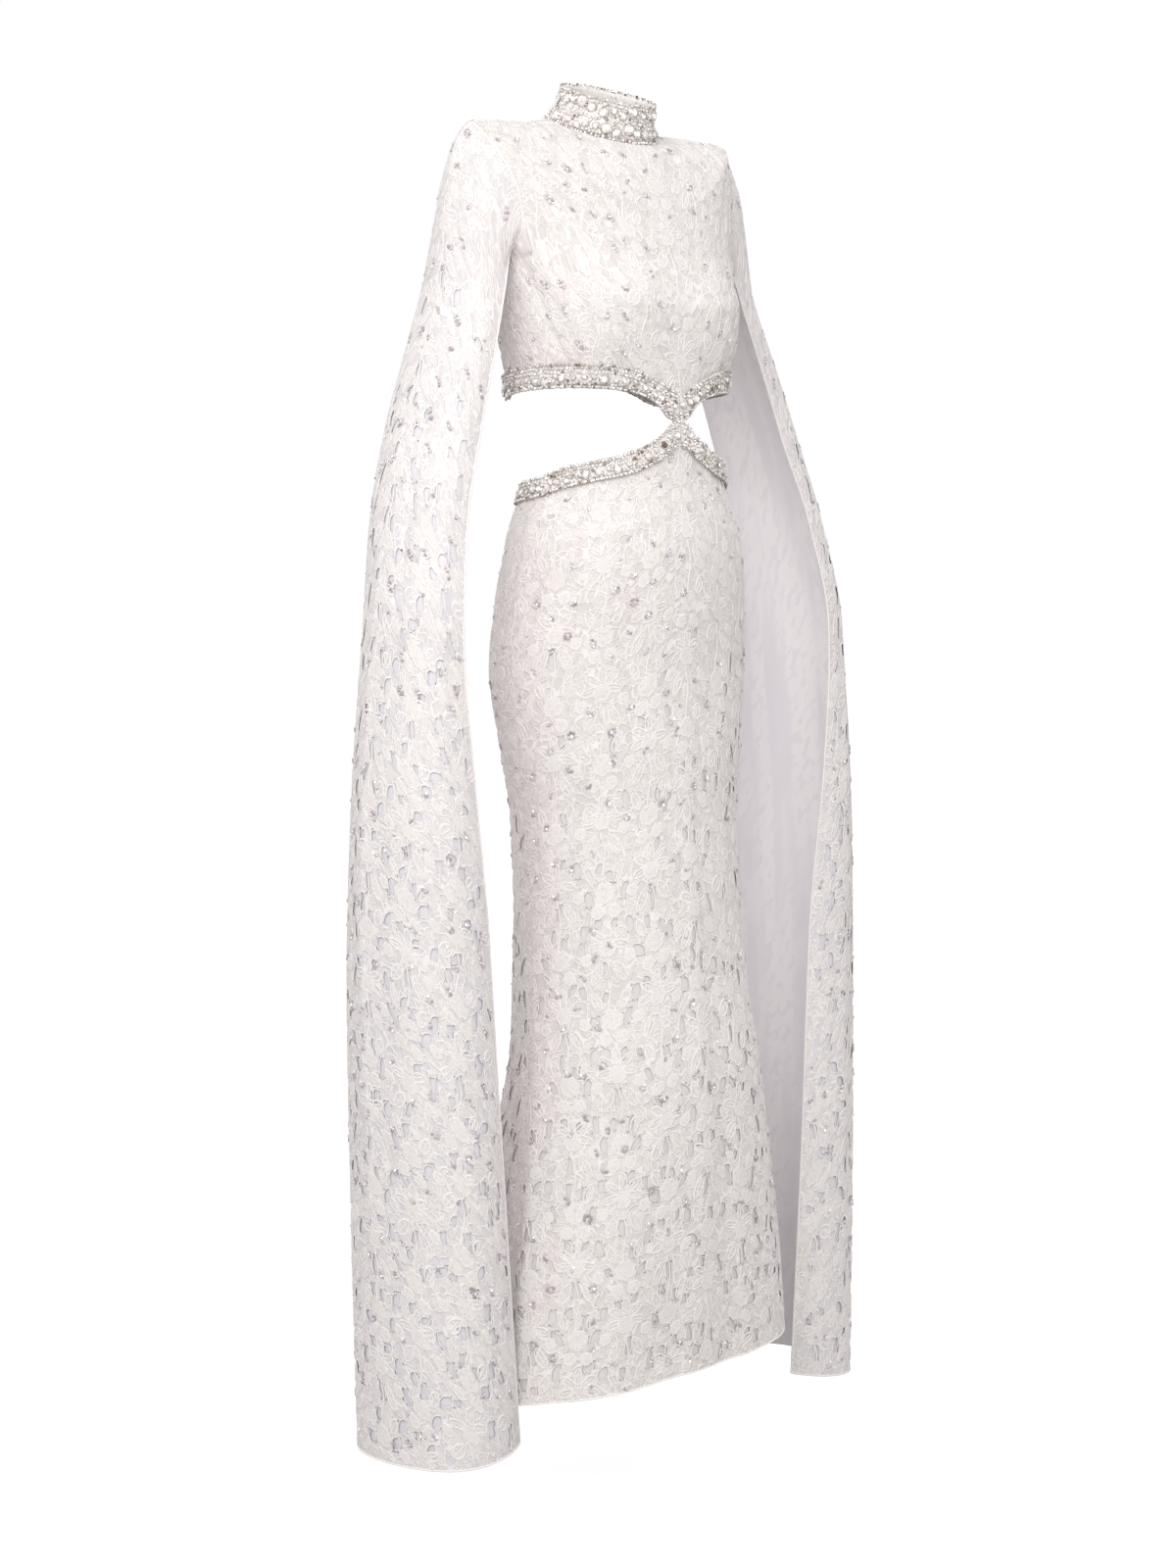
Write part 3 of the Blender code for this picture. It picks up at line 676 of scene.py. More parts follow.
@dataclass(frozen=True)
class FloorFinish:
    """Plain pale floor that the camera sees close to white."""

    colour: Colour = (0.46, 0.45, 0.445, 1.0)
    grain: Colour = (0.43, 0.42, 0.415, 1.0)
    shown: float = 0.80

    def material(self) -> bpy.types.Material:
        """Material of the finish."""
        bench = NodeBench("pale_floor")
        grain = bench.node("TexNoise", Scale=3.0, Detail=1.0).outputs[0]
        colour = bench.blend(bench.times(grain, 0.04), self.colour, self.grain)
        rays = bench.attribute("LightPath", "Is Camera Ray")
        return bench.finish(Base_Color=colour, Roughness=0.9, Emission_Color=WHITE,
                            Emission_Strength=bench.times(rays, self.shown))


class Look(Enum):
    """Finishes of the dress."""

    SKIRT_GROUND = PetalGroundFinish(
        "lace_ground_skirt", (0.86, 0.811, 0.788, 1), (0.73, 0.674, 0.652, 1),
        (0.63, 0.572, 0.555, 1), open_net=(0.745, 0.70, 0.684, 1), open_share=0.24)
    SLEEVE_GROUND = PetalGroundFinish(
        "lace_ground_sleeve", (0.86, 0.814, 0.806, 1), (0.735, 0.688, 0.69, 1),
        (0.65, 0.592, 0.605, 1), open_net=(0.745, 0.717, 0.76, 1))
    CLOTH = LaceFinish("lace_clothwork", (0.87, 0.822, 0.80, 1), (0.80, 0.75, 0.732, 1),
                       (0.63, 0.572, 0.555, 1), mottle_scale=210.0)
    CORD = LaceFinish("lace_cord", (0.94, 0.90, 0.88, 1), (0.89, 0.845, 0.825, 1),
                      (0.78, 0.73, 0.715, 1), 0.25, mottle_scale=420.0, sheen=0.3)
    # The braid's dark taupe pinhole dots show in the gaps between the stones. They are partly the
    # braid's own holes and partly painted shade between the stones.
    BRAID = LaceFinish("cream_braid", (0.93, 0.89, 0.86, 1), (0.83, 0.775, 0.74, 1),
                       (0.42, 0.345, 0.31, 1), 0.7, mottle_scale=300.0)
    SKIRT_LINING = LiningFinish("skirt_lining", (0.80, 0.756, 0.738, 1), (0.76, 0.715, 0.70, 1))
    SLEEVE_LINING = LiningFinish("sleeve_lining", (0.80, 0.774, 0.806, 1),
                                 (0.765, 0.738, 0.77, 1))
    # The stones' dark colours are painted dark reflections, and their bright colours painted
    # reflections of the light.
    CLEAR_STONE = StoneFinish("clear_stone", (0.98, 0.95, 0.925, 1), (0.17, 0.125, 0.10, 1), 0.15)
    SMALL_STONE = StoneFinish("small_stone", (0.84, 0.77, 0.80, 1), (0.46, 0.385, 0.42, 1), 0.12)
    SILVER = SettingFinish("silver_setting", (0.90, 0.84, 0.79, 1), (0.30, 0.225, 0.18, 1))
    SPARKLE = SparkleFinish("white_sparkle")

    @cache
    def material(self) -> bpy.types.Material:
        """Material of the finish, made when it is first asked for."""
        return self.value.material()


# Lace pattern


@dataclass(frozen=True)
class Hole:
    """Leaf-shaped gap: its middle, half length, half width and lean from the fall, in radians."""

    x: float
    y: float
    half_length: float
    half_width: float
    lean: float


@dataclass(frozen=True)
class Stroke:
    """Run of cord on the flat cut."""

    points: Array
    closed: bool
    bold: bool


def leaf_outline(half_length: float, half_width: float, steps: int, belly: float = 0.75) -> Array:
    """Closed outline of a leaf that points up and down, round its middle.

    Args:
        half_length: Half of its length.
        half_width: Half of its greatest width.
        steps: Points along each side.
        belly: Roundness of its sides; lower is rounder.

    Returns:
        Points round the leaf.
    """
    t = np.linspace(0, 1, steps, endpoint=False)
    width = half_width * (4 * t * (1 - t)) ** belly
    right = np.stack([width, -half_length + 2 * half_length * t], axis=1)
    return np.concatenate([right, -right])


def flower_outline(radius: float, lobes: int, steps: int) -> Array:
    """Closed scalloped outline of a round flower."""
    turn = np.linspace(0, 2 * np.pi, lobes * steps, endpoint=False)
    reach = radius * (0.80 + 0.20 * np.abs(np.sin(lobes * turn / 2)) ** 0.7)
    return np.stack([reach * np.sin(turn), -reach * np.cos(turn)], axis=1)


def turned(points: Array, turn: float, x: float = 0.0, y: float = 0.0) -> Array:
    """Points turned round the origin, then moved."""
    c, s = math.cos(turn), math.sin(turn)
    return points @ np.array([[c, s], [-s, c]]) + np.array([x, y])


@dataclass
class LacePattern:
    """Half-drop repeat of corded lace: a lily spray over leaves, round flowers and leaf gaps."""

    width: float = 0.110
    height: float = 0.140
    bold_width: float = 0.0019
    fine_width: float = 0.0012
    strokes: list[Stroke] = field(default_factory=list)
    fills: list[Array] = field(default_factory=list)
    holes: list[Hole] = field(default_factory=list)

    def __post_init__(self) -> None:
        """Draw one group of the repeat round its own middle."""
        self._spray(0.0, -0.026, 0.023)
        self._flower(0.0, -0.020, 0.0098, 6)
        self._flower(0.0, 0.059, 0.0115, 7)
        for side in (-1, 1):
            self._leaf(side * 0.0135, 0.008, 0.0135, 0.0052, side * -0.48)
            self._leaf(side * 0.0160, 0.038, 0.0115, 0.0046, side * 0.36)
            self._flower(side * 0.0245, -0.008, 0.0066, 5)
            self._flower(side * 0.0095, -0.060, 0.0072, 5)
            self._gap(side * 0.0200, 0.0590, 0.0105, 0.0047, side * 0.42)
            self._gap(side * 0.0260, -0.0400, 0.0112, 0.0047, side * -0.24)
            self._gap(side * 0.0072, 0.0370 + side * 0.004, 0.0100, 0.0040, side * -0.20)
        self._gap(0.0, 0.0080, 0.0115, 0.0048, 0.05)
        stem = np.linspace(-0.010, 0.050, 16)
        sway = 0.0022 * np.sin(stem * 105)
        self.strokes.append(Stroke(np.stack([sway, stem], axis=1), False, True))

    def _leaf(self, x: float, y: float, half_length: float, half_width: float,
              lean: float) -> None:
        """Draw a leaf with its midrib."""
        outline = turned(leaf_outline(half_length, half_width, 6), lean, x, y)
        rib = np.stack([np.zeros(5), np.linspace(-0.75, 0.8, 5) * half_length], axis=1)
        self.strokes.append(Stroke(outline, True, True))
        self.strokes.append(Stroke(turned(rib, lean, x, y), False, False))

    def _gap(self, *sizes: float) -> None:
        """Open a leaf-shaped gap."""
        self.holes.append(Hole(*sizes))

    def _flower(self, x: float, y: float, radius: float, lobes: int) -> None:
        """Draw a round scalloped flower with an eye and lines between its petals."""
        outline = flower_outline(radius, lobes, 3) + np.array([x, y])
        eye = flower_outline(radius * 0.32, 3, 3) + np.array([x, y])
        self.strokes.append(Stroke(outline, True, True))
        self.strokes.append(Stroke(eye, True, False))
        for index in range(lobes):
            turn = 2 * math.pi * index / lobes
            line = np.array([[0, -0.42 * radius], [0, -0.80 * radius]])
            self.strokes.append(Stroke(turned(line, turn, x, y), False, False))
        self.fills.append(outline)

    def _spray(self, x: float, y: float, reach: float) -> None:
        """Draw the lily: long petals that fan upwards, with slits between them."""
        turns = np.radians([-104, -52, 0, 52, 104])
        for turn in turns:
            petal = leaf_outline(reach * 0.42, reach * 0.185, 7, 0.6) + np.array([0, -reach * 0.62])
            rib = np.array([[0, -0.34 * reach], [0, -0.60 * reach], [0, -0.86 * reach]])
            self.strokes.append(Stroke(turned(petal, turn, x, y), True, True))
            self.strokes.append(Stroke(turned(rib, turn, x, y), False, False))
        for turn in (turns[1:] + turns[:-1])[1:3] / 2:
            middle = turned(np.array([[0, -0.92 * reach]]), turn, x, y)[0]
            self._gap(middle[0], middle[1], 0.0080, 0.0040, float(turn))

    def groups(self, form: ClothForm) -> Array:
        """Middles of the pattern groups that can touch a panel, as metres across and down."""
        reach = math.ceil((form.width.max() / 2 + self.width) / self.width)
        rows = np.arange(-1, math.ceil(form.length / self.height) + 2)
        row, column = np.meshgrid(rows, np.arange(-reach, reach + 1), indexing="ij")
        drops = [np.stack([(column + drop) * self.width, (row + drop) * self.height], axis=-1)
                 for drop in (0, 0.5)]
        return np.stack(drops, axis=2).reshape(-1, 2)


@dataclass(frozen=True)
class GapZone:
    """Falls between which more and more of a panel's gaps are open, and their greatest share."""

    start: float
    full: float
    share: float = 0.9


@dataclass
class LacePanel:
    """One panel of corded lace: its net with open gaps, and the cordwork sewn on it."""

    name: str
    form: ClothForm
    zone: GapZone | None
    pattern: LacePattern
    seed: int
    cell: float = 0.0048
    edge_margin: float = 0.0022
    cord_lift: float = 0.00095
    cord_foot: float = 0.0001
    fill_lift: float = 0.00030
    fill_crown: float = 0.0004
    hole_reach: float = 0.02
    snap_share: float = 0.42
    wobble: tuple[float, float] = (0.80, 1.25)
    stray: tuple[float, float] = (0.0016, 0.0022)
    stray_lean: float = 0.20

    def open_holes(self) -> list[Hole]:
        """Gaps of this panel that are cut open, in metres across and down."""
        if self.zone is None:
            return []
        rng = np.random.default_rng(self.seed)
        found = []
        for x, y in self.pattern.groups(self.form):
            for hole in self.pattern.holes:
                chance = rng.random()
                wobble = rng.uniform(*self.wobble)
                across = x + hole.x + rng.normal(0, self.stray[0])
                down = y + hole.y + rng.normal(0, self.stray[1])
                rise = (down - self.zone.start) / (self.zone.full - self.zone.start)
                if chance > np.clip(rise, 0, 1) * self.zone.share:
                    continue
                spot = np.array([across]), np.array([down])
                if self.form.covers(*spot, margin=hole.half_length)[0]:
                    lean = hole.lean + rng.normal(0, self.stray_lean)
                    found.append(Hole(across, down, hole.half_length * wobble,
                                      hole.half_width / wobble, lean))
        return found

    def net(self, holes: list[Hole]) -> MeshParts:
        """Lace ground with its gaps cut open.

        Args:
            holes: Open gaps in metres across and down.

        Returns:
            The parts of the mesh.
        """
        shape, points, places = self.form.cells(self.cell)
        across, down = places[:, 0], places[:, 1]
        inside, moved = np.zeros((2, len(points)), dtype=bool)
        for hole in holes:
            near = np.flatnonzero((np.abs(across - hole.x) < self.hole_reach)
                                  & (np.abs(down - hole.y) < self.hole_reach) & ~moved & ~inside)
            cosine, sine = math.cos(hole.lean), math.sin(hole.lean)
            dx, dy = across[near] - hole.x, down[near] - hole.y
            b, a = dx * cosine + dy * sine, -dx * sine + dy * cosine
            reach = hole.half_width * np.clip(1 - (a / hole.half_length) ** 2, 0, 1) ** 0.8
            gap = np.abs(b) - reach
            on_leaf = np.abs(a) < hole.half_length
            snap = on_leaf & (np.abs(gap) < self.cell * self.snap_share)
            side = np.where(snap, np.sign(np.where(b == 0, 1, b)) * reach, b)
            across[near] = hole.x + side * cosine - a * sine
            down[near] = hole.y + side * sine + a * cosine
            moved[near[snap]] = True
            inside[near[on_leaf & ~snap & (gap < 0)]] = True
        points[moved] = self.form.place(across[moved], down[moved])[0]
        faces = grid_faces(*shape)
        parts = MeshParts()
        parts.add(points, faces[~inside[faces].any(axis=1)], places)
        return parts

    def cordwork(self, holes: list[Hole]) -> MeshParts:
        """Cords and clothwork that lie on the net.

        Args:
            holes: Open gaps, each with a cord round it.

        Returns:
            The parts, with clothwork as finish 0 and cords as finish 1.
        """
        parts = MeshParts()
        groups = self.pattern.groups(self.form)
        for fill in self.pattern.fills:
            self._lay_fills(parts, fill, groups)
        for stroke in self.pattern.strokes:
            self._lay_cords(parts, stroke, groups)
        for hole in holes:
            outline = turned(leaf_outline(hole.half_length, hole.half_width, 5, 0.8), hole.lean)
            rim = Stroke(outline * 1.10, True, False)
            self._lay_cords(parts, rim, np.array([[hole.x, hole.y]]))
        return parts

    def _lay_fills(self, parts: MeshParts, outline: Array, groups: Array) -> None:
        """Lay one filled motif at every group."""
        corner = np.concatenate([outline.mean(axis=0, keepdims=True), outline])
        places = groups[:, None, :] + corner[None]
        keep = self.form.covers(places[..., 0], places[..., 1], self.edge_margin).all(axis=1)
        places = places[keep]
        count = len(corner)
        ring = np.arange(1, count)
        fan = np.stack([np.zeros(count - 1, dtype=int), ring, np.roll(ring, -1)], axis=1)
        faces = (np.arange(len(places))[:, None, None] * count + fan[None]).reshape(-1, 3)
        lift = np.full(places.shape[:2], self.fill_lift)
        lift[:, 0] = self.fill_lift + self.fill_crown
        points, _ = self.form.place(places[..., 0], places[..., 1], lift)
        parts.add(points.reshape(-1, 3), faces[:, ::-1], places.reshape(-1, 2), 0)

    def _lay_cords(self, parts: MeshParts, stroke: Stroke, groups: Array) -> None:
        """Lay one run of cord at every group."""
        path = stroke.points
        if stroke.closed:
            ahead, behind = np.roll(path, -1, axis=0), np.roll(path, 1, axis=0)
        else:
            ahead = np.concatenate([path[1:], path[-1:]])
            behind = np.concatenate([path[:1], path[:-1]])
        along = unit(ahead - behind)
        side = np.stack([-along[:, 1], along[:, 0]], axis=1)
        half = (self.pattern.bold_width if stroke.bold else self.pattern.fine_width) / 2
        tracks = np.stack([path + side * half, path, path - side * half], axis=1)
        places = groups[:, None, None, :] + tracks[None]
        keep = self.form.covers(places[..., 0], places[..., 1], self.edge_margin / 2).all(axis=2)
        count = len(path)
        start = np.arange(count if stroke.closed else count - 1)
        after = (start + 1) % count
        base = np.arange(len(groups))[:, None] * count * 3
        whole = keep[:, start] & keep[:, after]
        low = (base + start * 3)[whole]
        high = (base + after * 3)[whole]
        faces = np.concatenate([np.stack([low, low + 1, high + 1, high], axis=1),
                                np.stack([low + 1, low + 2, high + 2, high + 1], axis=1)])
        height = self.cord_lift * (1.0 if stroke.bold else 0.8)
        profile = np.array([self.cord_foot, height, self.cord_foot])
        lift = np.broadcast_to(profile, places.shape[:-1])
        points, _ = self.form.place(places[..., 0], places[..., 1], lift)
        parts.add(points.reshape(-1, 3), faces, places.reshape(-1, 2), 1)


# Stones


@dataclass(frozen=True)
class StoneCut:
    """Faceted stone, with or without a silver cup and prongs."""

    sides: int
    table: float = 0.55
    crown: float = 0.42
    girdle: float = 0.30
    waist: float = 0.94
    cup: bool = False
    cup_foot: float = 1.24
    prongs: int = 0
    stretch: float = 1.0
    # Whether the table carries the painted glowing highlight.
    sparkles: bool = False
    # Share of the stones whose facets are painted dark, as painted dark reflections.
    dark_reflection_share: float = 0.30

    @staticmethod
    def _ring(radius: float, height: float, turn: Array) -> Array:
        """Points of one ring of corners."""
        return np.stack([radius * np.cos(turn), radius * np.sin(turn),
                         np.full(len(turn), height)], axis=1)

    def shape(self) -> tuple[Array, Array, Array]:
        """Shape of a stone with a radius of 1 that looks along +Z.

        Returns:
            Points, faces of three numbers, and the finish number of each face: 0 for stone, 1 for
            metal and 2 for a table that carries the painted glowing highlight.
        """
        n = self.sides
        k = np.arange(n)
        after = (k + 1) % n
        turn = 2 * np.pi * k / n
        points = [self._ring(self.waist, self.girdle, turn),
                  self._ring(self.table, self.girdle + self.crown, turn + np.pi / n),
                  np.array([[0, 0, self.girdle + self.crown * 1.02]])]
        faces = [np.stack([k, after, n + k], axis=1), np.stack([n + k, after, n + after], axis=1),
                 np.stack([n + k, n + after, np.full(n, 2 * n)], axis=1)]
        kinds = [0] * 2 * n + [2 if self.sparkles else 0] * n
        total = 2 * n + 1
        if self.cup:
            points += [self._ring(self.cup_foot, 0.0, turn),
                       self._ring(self.waist, self.girdle, turn)]
            faces += [total + face for face in faces[:2]]
            kinds += [1] * 2 * n
            total += 2 * n
        for index in range(self.prongs):
            prong = np.array([[1.22, -0.15, 0.1], [1.22, 0.15, 0.1],
                              [0.80, 0.0, self.girdle + 0.30], [1.10, 0.0, self.girdle + 0.28]])
            prong[:, :2] = turned(prong[:, :2], 2 * math.pi * (index + 0.5) / self.prongs)
            points.append(prong)
            faces.append(total + np.array([[0, 1, 3], [0, 3, 2], [1, 2, 3]]))
            kinds += [1] * 3
            total += 4
        points = np.concatenate(points) * np.array([self.stretch, 1.0, 1.0])
        return points, np.concatenate(faces), np.array(kinds)


class StoneTray:
    """Lays stones on a form and joins them."""

    TILT = 0.10
    PROBE = 0.001
    GRAIN = 0.01

    def __init__(self, form: ClothForm, seed: int) -> None:
        """Start an empty tray for one form."""
        self.form = form
        self.rng = np.random.default_rng(seed)
        self.parts = MeshParts()

    def lay(self, cut: StoneCut, across: Array, down: Array, radius: Array, lift: float) -> None:
        """Lay stones of one cut.

        Args:
            cut: Shape of the stones.
            across: Metres from the form's middle line.
            down: Metres below its top edge.
            radius: Radius of each stone.
            lift: Height of their backs above the form.
        """
        if len(across) == 0:
            return
        shape, faces, kinds = cut.shape()
        centre, normal = self.form.place(across, down, lift)
        near, _ = self.form.place(across + self.PROBE, down, lift)
        east = unit(near - centre)
        normal = unit(normal + self.rng.normal(0, self.TILT, (len(across), 3)))
        south = unit(np.cross(normal, east))
        east = np.cross(south, normal)
        spin = self.rng.uniform(0, 2 * np.pi, len(across))
        c, s = np.cos(spin)[:, None], np.sin(spin)[:, None]
        axes = east * c + south * s, south * c - east * s, normal
        spread = sum(shape[None, :, i:i + 1] * axis[:, None] for i, axis in enumerate(axes))
        points = centre[:, None] + radius[:, None, None] * spread
        offset = np.arange(len(across))[:, None, None] * len(shape)
        uvs = np.stack([across, down], axis=1)[:, None] + shape[None, :, :2] * self.GRAIN
        every = (offset + faces[None]).reshape(-1, 3)
        order = np.argsort(np.tile(kinds, len(across)), kind="stable")
        # Painted reflection brightness for every facet.
        shade = self._painted_glints(cut.dark_reflection_share, len(across), len(faces))[order]
        counts = np.bincount(kinds, minlength=3) * len(across)
        self.parts.add(points.reshape(-1, 3), every[order], uvs.reshape(-1, 2),
                       np.repeat([0, 1, 2], counts), shade)

    def _painted_glints(self, dark_reflection_share: float, stones: int, facets: int) -> Array:
        """Painted reflection brightness of each facet.

        Args:
            dark_reflection_share: Share of the stones painted dark, as painted dark reflections. As
                many again are painted half bright.
            stones: Number of stones.
            facets: Number of facets of each.

        Returns:
            One value for each facet, and about a quarter of them are darker.
        """
        draw = self.rng.random((stones, 1))
        stone = np.where(draw < dark_reflection_share, self.rng.uniform(0.0, 0.30, (stones, 1)),
                         np.where(draw < 2 * dark_reflection_share, 0.6, 1.0))
        facet = np.where(self.rng.random((stones, facets)) < 0.25,
                         self.rng.uniform(0.3, 0.7, (stones, facets)),
                         self.rng.uniform(0.85, 1.0, (stones, facets)))
        return (stone * facet).ravel()


@dataclass
class ScatteredStones:
    """Clusters of small stones sewn all over a lace panel."""

    form: ClothForm
    seed: int
    across_step: float = 0.045
    down_step: float = 0.038
    stray: float = 0.0035
    kept_share: float = 0.54
    clusters: tuple[tuple[float, int], ...] = ((0.34, 3), (0.66, 4), (0.80, 6), (1.0, 1))
    radius: float = 0.0019
    sparkle_radius: float = 0.0018
    sparkle_share: float = 0.36
    cluster_reach: float = 0.0039
    margin: float = 0.007
    lift: float = 0.0004

    def tray(self) -> StoneTray:
        """Tray with every cluster of the panel."""
        tray = StoneTray(self.form, self.seed)
        rng = tray.rng
        across, down = self._middles(rng)
        xs, ys, sizes = [], [], []
        for x, y, draw in zip(across, down, rng.random(len(across))):
            stones = next(count for limit, count in self.clusters if draw < limit)
            arc = 2 * math.pi if stones == 6 else stones * rng.uniform(0.70, 0.85)
            turn = rng.uniform(0, 2 * math.pi)
            reach = self.cluster_reach * rng.uniform(0.75, 1.05)
            angles = turn + arc * np.arange(stones) / stones
            xs.append(x + reach * np.cos(angles))
            ys.append(y + reach * np.sin(angles))
            sizes.append(self.radius * rng.uniform(0.85, 1.25, stones))
        tray.lay(StoneCut(6), *map(np.concatenate, (xs, ys, sizes)), self.lift)
        # Some clusters get a stone that carries the painted glowing highlight.
        bright = rng.random(len(across)) < self.sparkle_share
        lean = rng.uniform(0, 2 * np.pi, len(across))[bright]
        reach = 0.4 * self.cluster_reach
        tray.lay(StoneCut(7, table=0.75, sparkles=True), across[bright] + reach * np.cos(lean),
                 down[bright] + reach * np.sin(lean),
                 self.sparkle_radius * rng.uniform(0.7, 1.2, len(lean)), self.lift)
        return tray

    def _middles(self, rng: np.random.Generator) -> tuple[Array, Array]:
        """Middles of the clusters in a staggered grid, a little out of line."""
        reach = math.ceil(self.form.width.max() / 2 / self.across_step)
        rows = np.arange(1, int(self.form.length / self.down_step * 2) + 1)
        columns = np.arange(-reach, reach + 1)
        shift = np.where(rows % 2, 0.25, -0.25)[:, None]
        across = ((columns + shift) * self.across_step).ravel()
        down = np.repeat(rows * self.down_step / 2, len(columns))
        across = across + rng.normal(0, self.stray, len(across))
        down = down + rng.normal(0, self.stray, len(down))
        keep = self.form.covers(across, down, self.margin)
        keep = keep & (rng.random(len(across)) < self.kept_share)
        return across[keep], down[keep]


# Body rings


RING_SIZES = ("half_width", "front_depth", "back_depth", "centre_y")


def ring_points(sizes: dict[str, Array], angle: Array, height: Array,
                lift: Array | float = 0.0) -> Array:
    """Points on body rings.

    Args:
        sizes: half_width, front_depth, back_depth, centre_y and power of the ring at each point.
        angle: Angles round the body in degrees.
        height: Heights of the points.
        lift: Metres outwards from the ring.

    Returns:
        The points.
    """
    turn = np.radians(angle)
    sine, cosine = np.sin(turn), np.cos(turn)
    depth = np.where(cosine > 0, sizes["front_depth"], sizes["back_depth"])
    power = sizes["power"]
    x = sizes["half_width"] * signed_power(sine, 2 / power)
    y = sizes["centre_y"] - depth * signed_power(cosine, 2 / power)
    out_x = signed_power(sine, 2 - 2 / power) / sizes["half_width"]
    out_y = -signed_power(cosine, 2 - 2 / power) / depth
    out = unit(np.stack([out_x, out_y, np.zeros_like(out_x)], axis=-1))
    points = np.stack([x, y, np.broadcast_to(height, x.shape)], axis=-1)
    return points + out * np.asarray(lift)[..., None] if np.ndim(lift) else points + out * lift


def signed_angle(angle: Array) -> Array:
    """Angles brought between -180 and 180."""
    return (angle + 180) % 360 - 180


@dataclass
class Bust:
    """Cups of a general figure, worked into the front."""

    x: float = 0.083
    z: float = -0.222
    half_width: float = 0.056
    half_height: float = 0.052
    projection: float = 0.021

    def lift(self, points: Array, angle: Array) -> Array:
        """How far the cups move points out."""
        rise = soft_hump(points[..., 2] - self.z, self.half_height)
        sides = (soft_hump(points[..., 0] - self.x, self.half_width)
                 + soft_hump(points[..., 0] + self.x, self.half_width))
        facing = np.maximum(0.0, np.cos(np.radians(angle)))
        return self.projection * rise * sides * facing


@dataclass
class BodiceForm:
    """Sizes and surfaces of the cropped bodice."""

    bust: Bust = field(default_factory=Bust)
    rows: Table = Table(
        ("row", "half_width", "front_depth", "back_depth", "centre_y", "side_z", "front_z",
         "back_z", "fall", "armhole"),
        (
            (0, 0.0620, 0.0620, 0.0620, 0.004, -0.0096, -0.0319, 0.0127, 1.0, 0),
            (1, 0.0860, 0.0780, 0.0720, 0.006, -0.0100, -0.0460, 0.0030, 1.4, 0),
            (2, 0.1280, 0.0930, 0.0800, 0.010, -0.0110, -0.0680, -0.0180, 1.8, 0),
            (3, 0.1760, 0.1080, 0.0860, 0.014, -0.0140, -0.0940, -0.0440, 2.0, 0),
            (4, 0.1780, 0.1180, 0.0900, 0.016, -0.0400, -0.1170, -0.0780, 2.0, 18),
            (5, 0.1760, 0.1240, 0.0920, 0.015, -0.0780, -0.1400, -0.1120, 2.0, 27),
            (6, 0.1710, 0.1260, 0.0940, 0.012, -0.1180, -0.1610, -0.1430, 2.0, 27),
            (7, 0.1640, 0.1270, 0.0960, 0.007, -0.1500, -0.1790, -0.1660, 2.0, 18),
            (8, 0.1570, 0.1260, 0.0980, 0.002, -0.1650, -0.1950, -0.1840, 2.0, 0),
            (9, 0.1500, 0.1230, 0.1000, -0.006, -0.2020, -0.2170, -0.2080, 2.0, 0),
            (10, 0.1450, 0.1160, 0.1000, -0.013, -0.2400, -0.2480, -0.2350, 2.0, 0),
        ),
    )
    band_top_ring: tuple[float, ...] = (0.1380, 0.1080, 0.0980, -0.020)
    band_hem_ring: tuple[float, ...] = (0.1350, 0.1030, 0.0970, -0.022)
    edges: Table = Table(
        ("angle", "top", "hem"),
        (
            (0, -0.3120, -0.3398), (5, -0.3065, -0.3370), (12, -0.2985, -0.3210),
            (24, -0.2865, -0.3095), (38, -0.2810, -0.3050), (60, -0.2800, -0.3040),
            (80, -0.2815, -0.3055), (100, -0.2850, -0.3090), (125, -0.2900, -0.3140),
            (142, -0.2740, -0.2980), (160, -0.2660, -0.2900), (180, -0.2630, -0.2870),
        ),
    )
    shoulder_row: int = 3
    underarm_row: int = 7
    columns: int = 121
    smooth_rows: int = 150

    def table_row(self, index: int, angle: Array) -> Array:
        """Points of one row of the table."""
        sizes = dict(zip(self.rows.names, self.rows.rows[index]))
        facing = np.cos(np.radians(angle))
        centre_z = np.where(facing > 0, sizes["front_z"], sizes["back_z"])
        height = sizes["side_z"] + (centre_z - sizes["side_z"]) * np.abs(facing) ** sizes["fall"]
        return self._raised([sizes[name] for name in RING_SIZES], angle, height)

    def _raised(self, ring: list[Array], angle: Array, height: Array, out: float = 0.0) -> Array:
        """Points of an elliptic ring at some heights, with the cups worked in."""
        sizes = dict(zip(RING_SIZES, ring), power=2.0)
        lift = self.bust.lift(ring_points(sizes, angle, height), angle) + out
        return ring_points(sizes, angle, height, lift)

    def band_points(self, angle: Array, share: Array | float, out: float = 0.0) -> Array:
        """Points between the top of the bodice band (share 0) and the bodice hem (share 1)."""
        share = np.broadcast_to(share, np.shape(angle))
        ring = [a * (1 - share) + b * share
                for a, b in zip(self.band_top_ring, self.band_hem_ring)]
        turn = np.abs(signed_angle(angle))
        top, hem = self.edges.read("top", turn), self.edges.read("hem", turn)
        return self._raised(ring, angle, top + (hem - top) * share, out)

    def coarse(self, half: Half) -> Array:
        """Points of a panel at its table rows and the three rows of its band."""
        span = np.linspace(-1, 1, self.columns)
        rows = []
        for index, armhole in enumerate(self.rows.column("armhole")):
            rows.append(self.table_row(index, half.value + span * (90 - armhole)))
        for share in (0.0, 0.5, 1.0):
            rows.append(self.band_points(half.value + span * 90, share))
        return np.stack(rows)

    def levels(self) -> Array:
        """Place of each coarse row along the fall, the same on both panels."""
        total = 0.0
        for half in Half:
            steps = np.linalg.norm(np.diff(self.coarse(half), axis=0), axis=2).mean(axis=1)
            total = total + steps / 2
        return np.concatenate([[0.0], np.cumsum(total)])

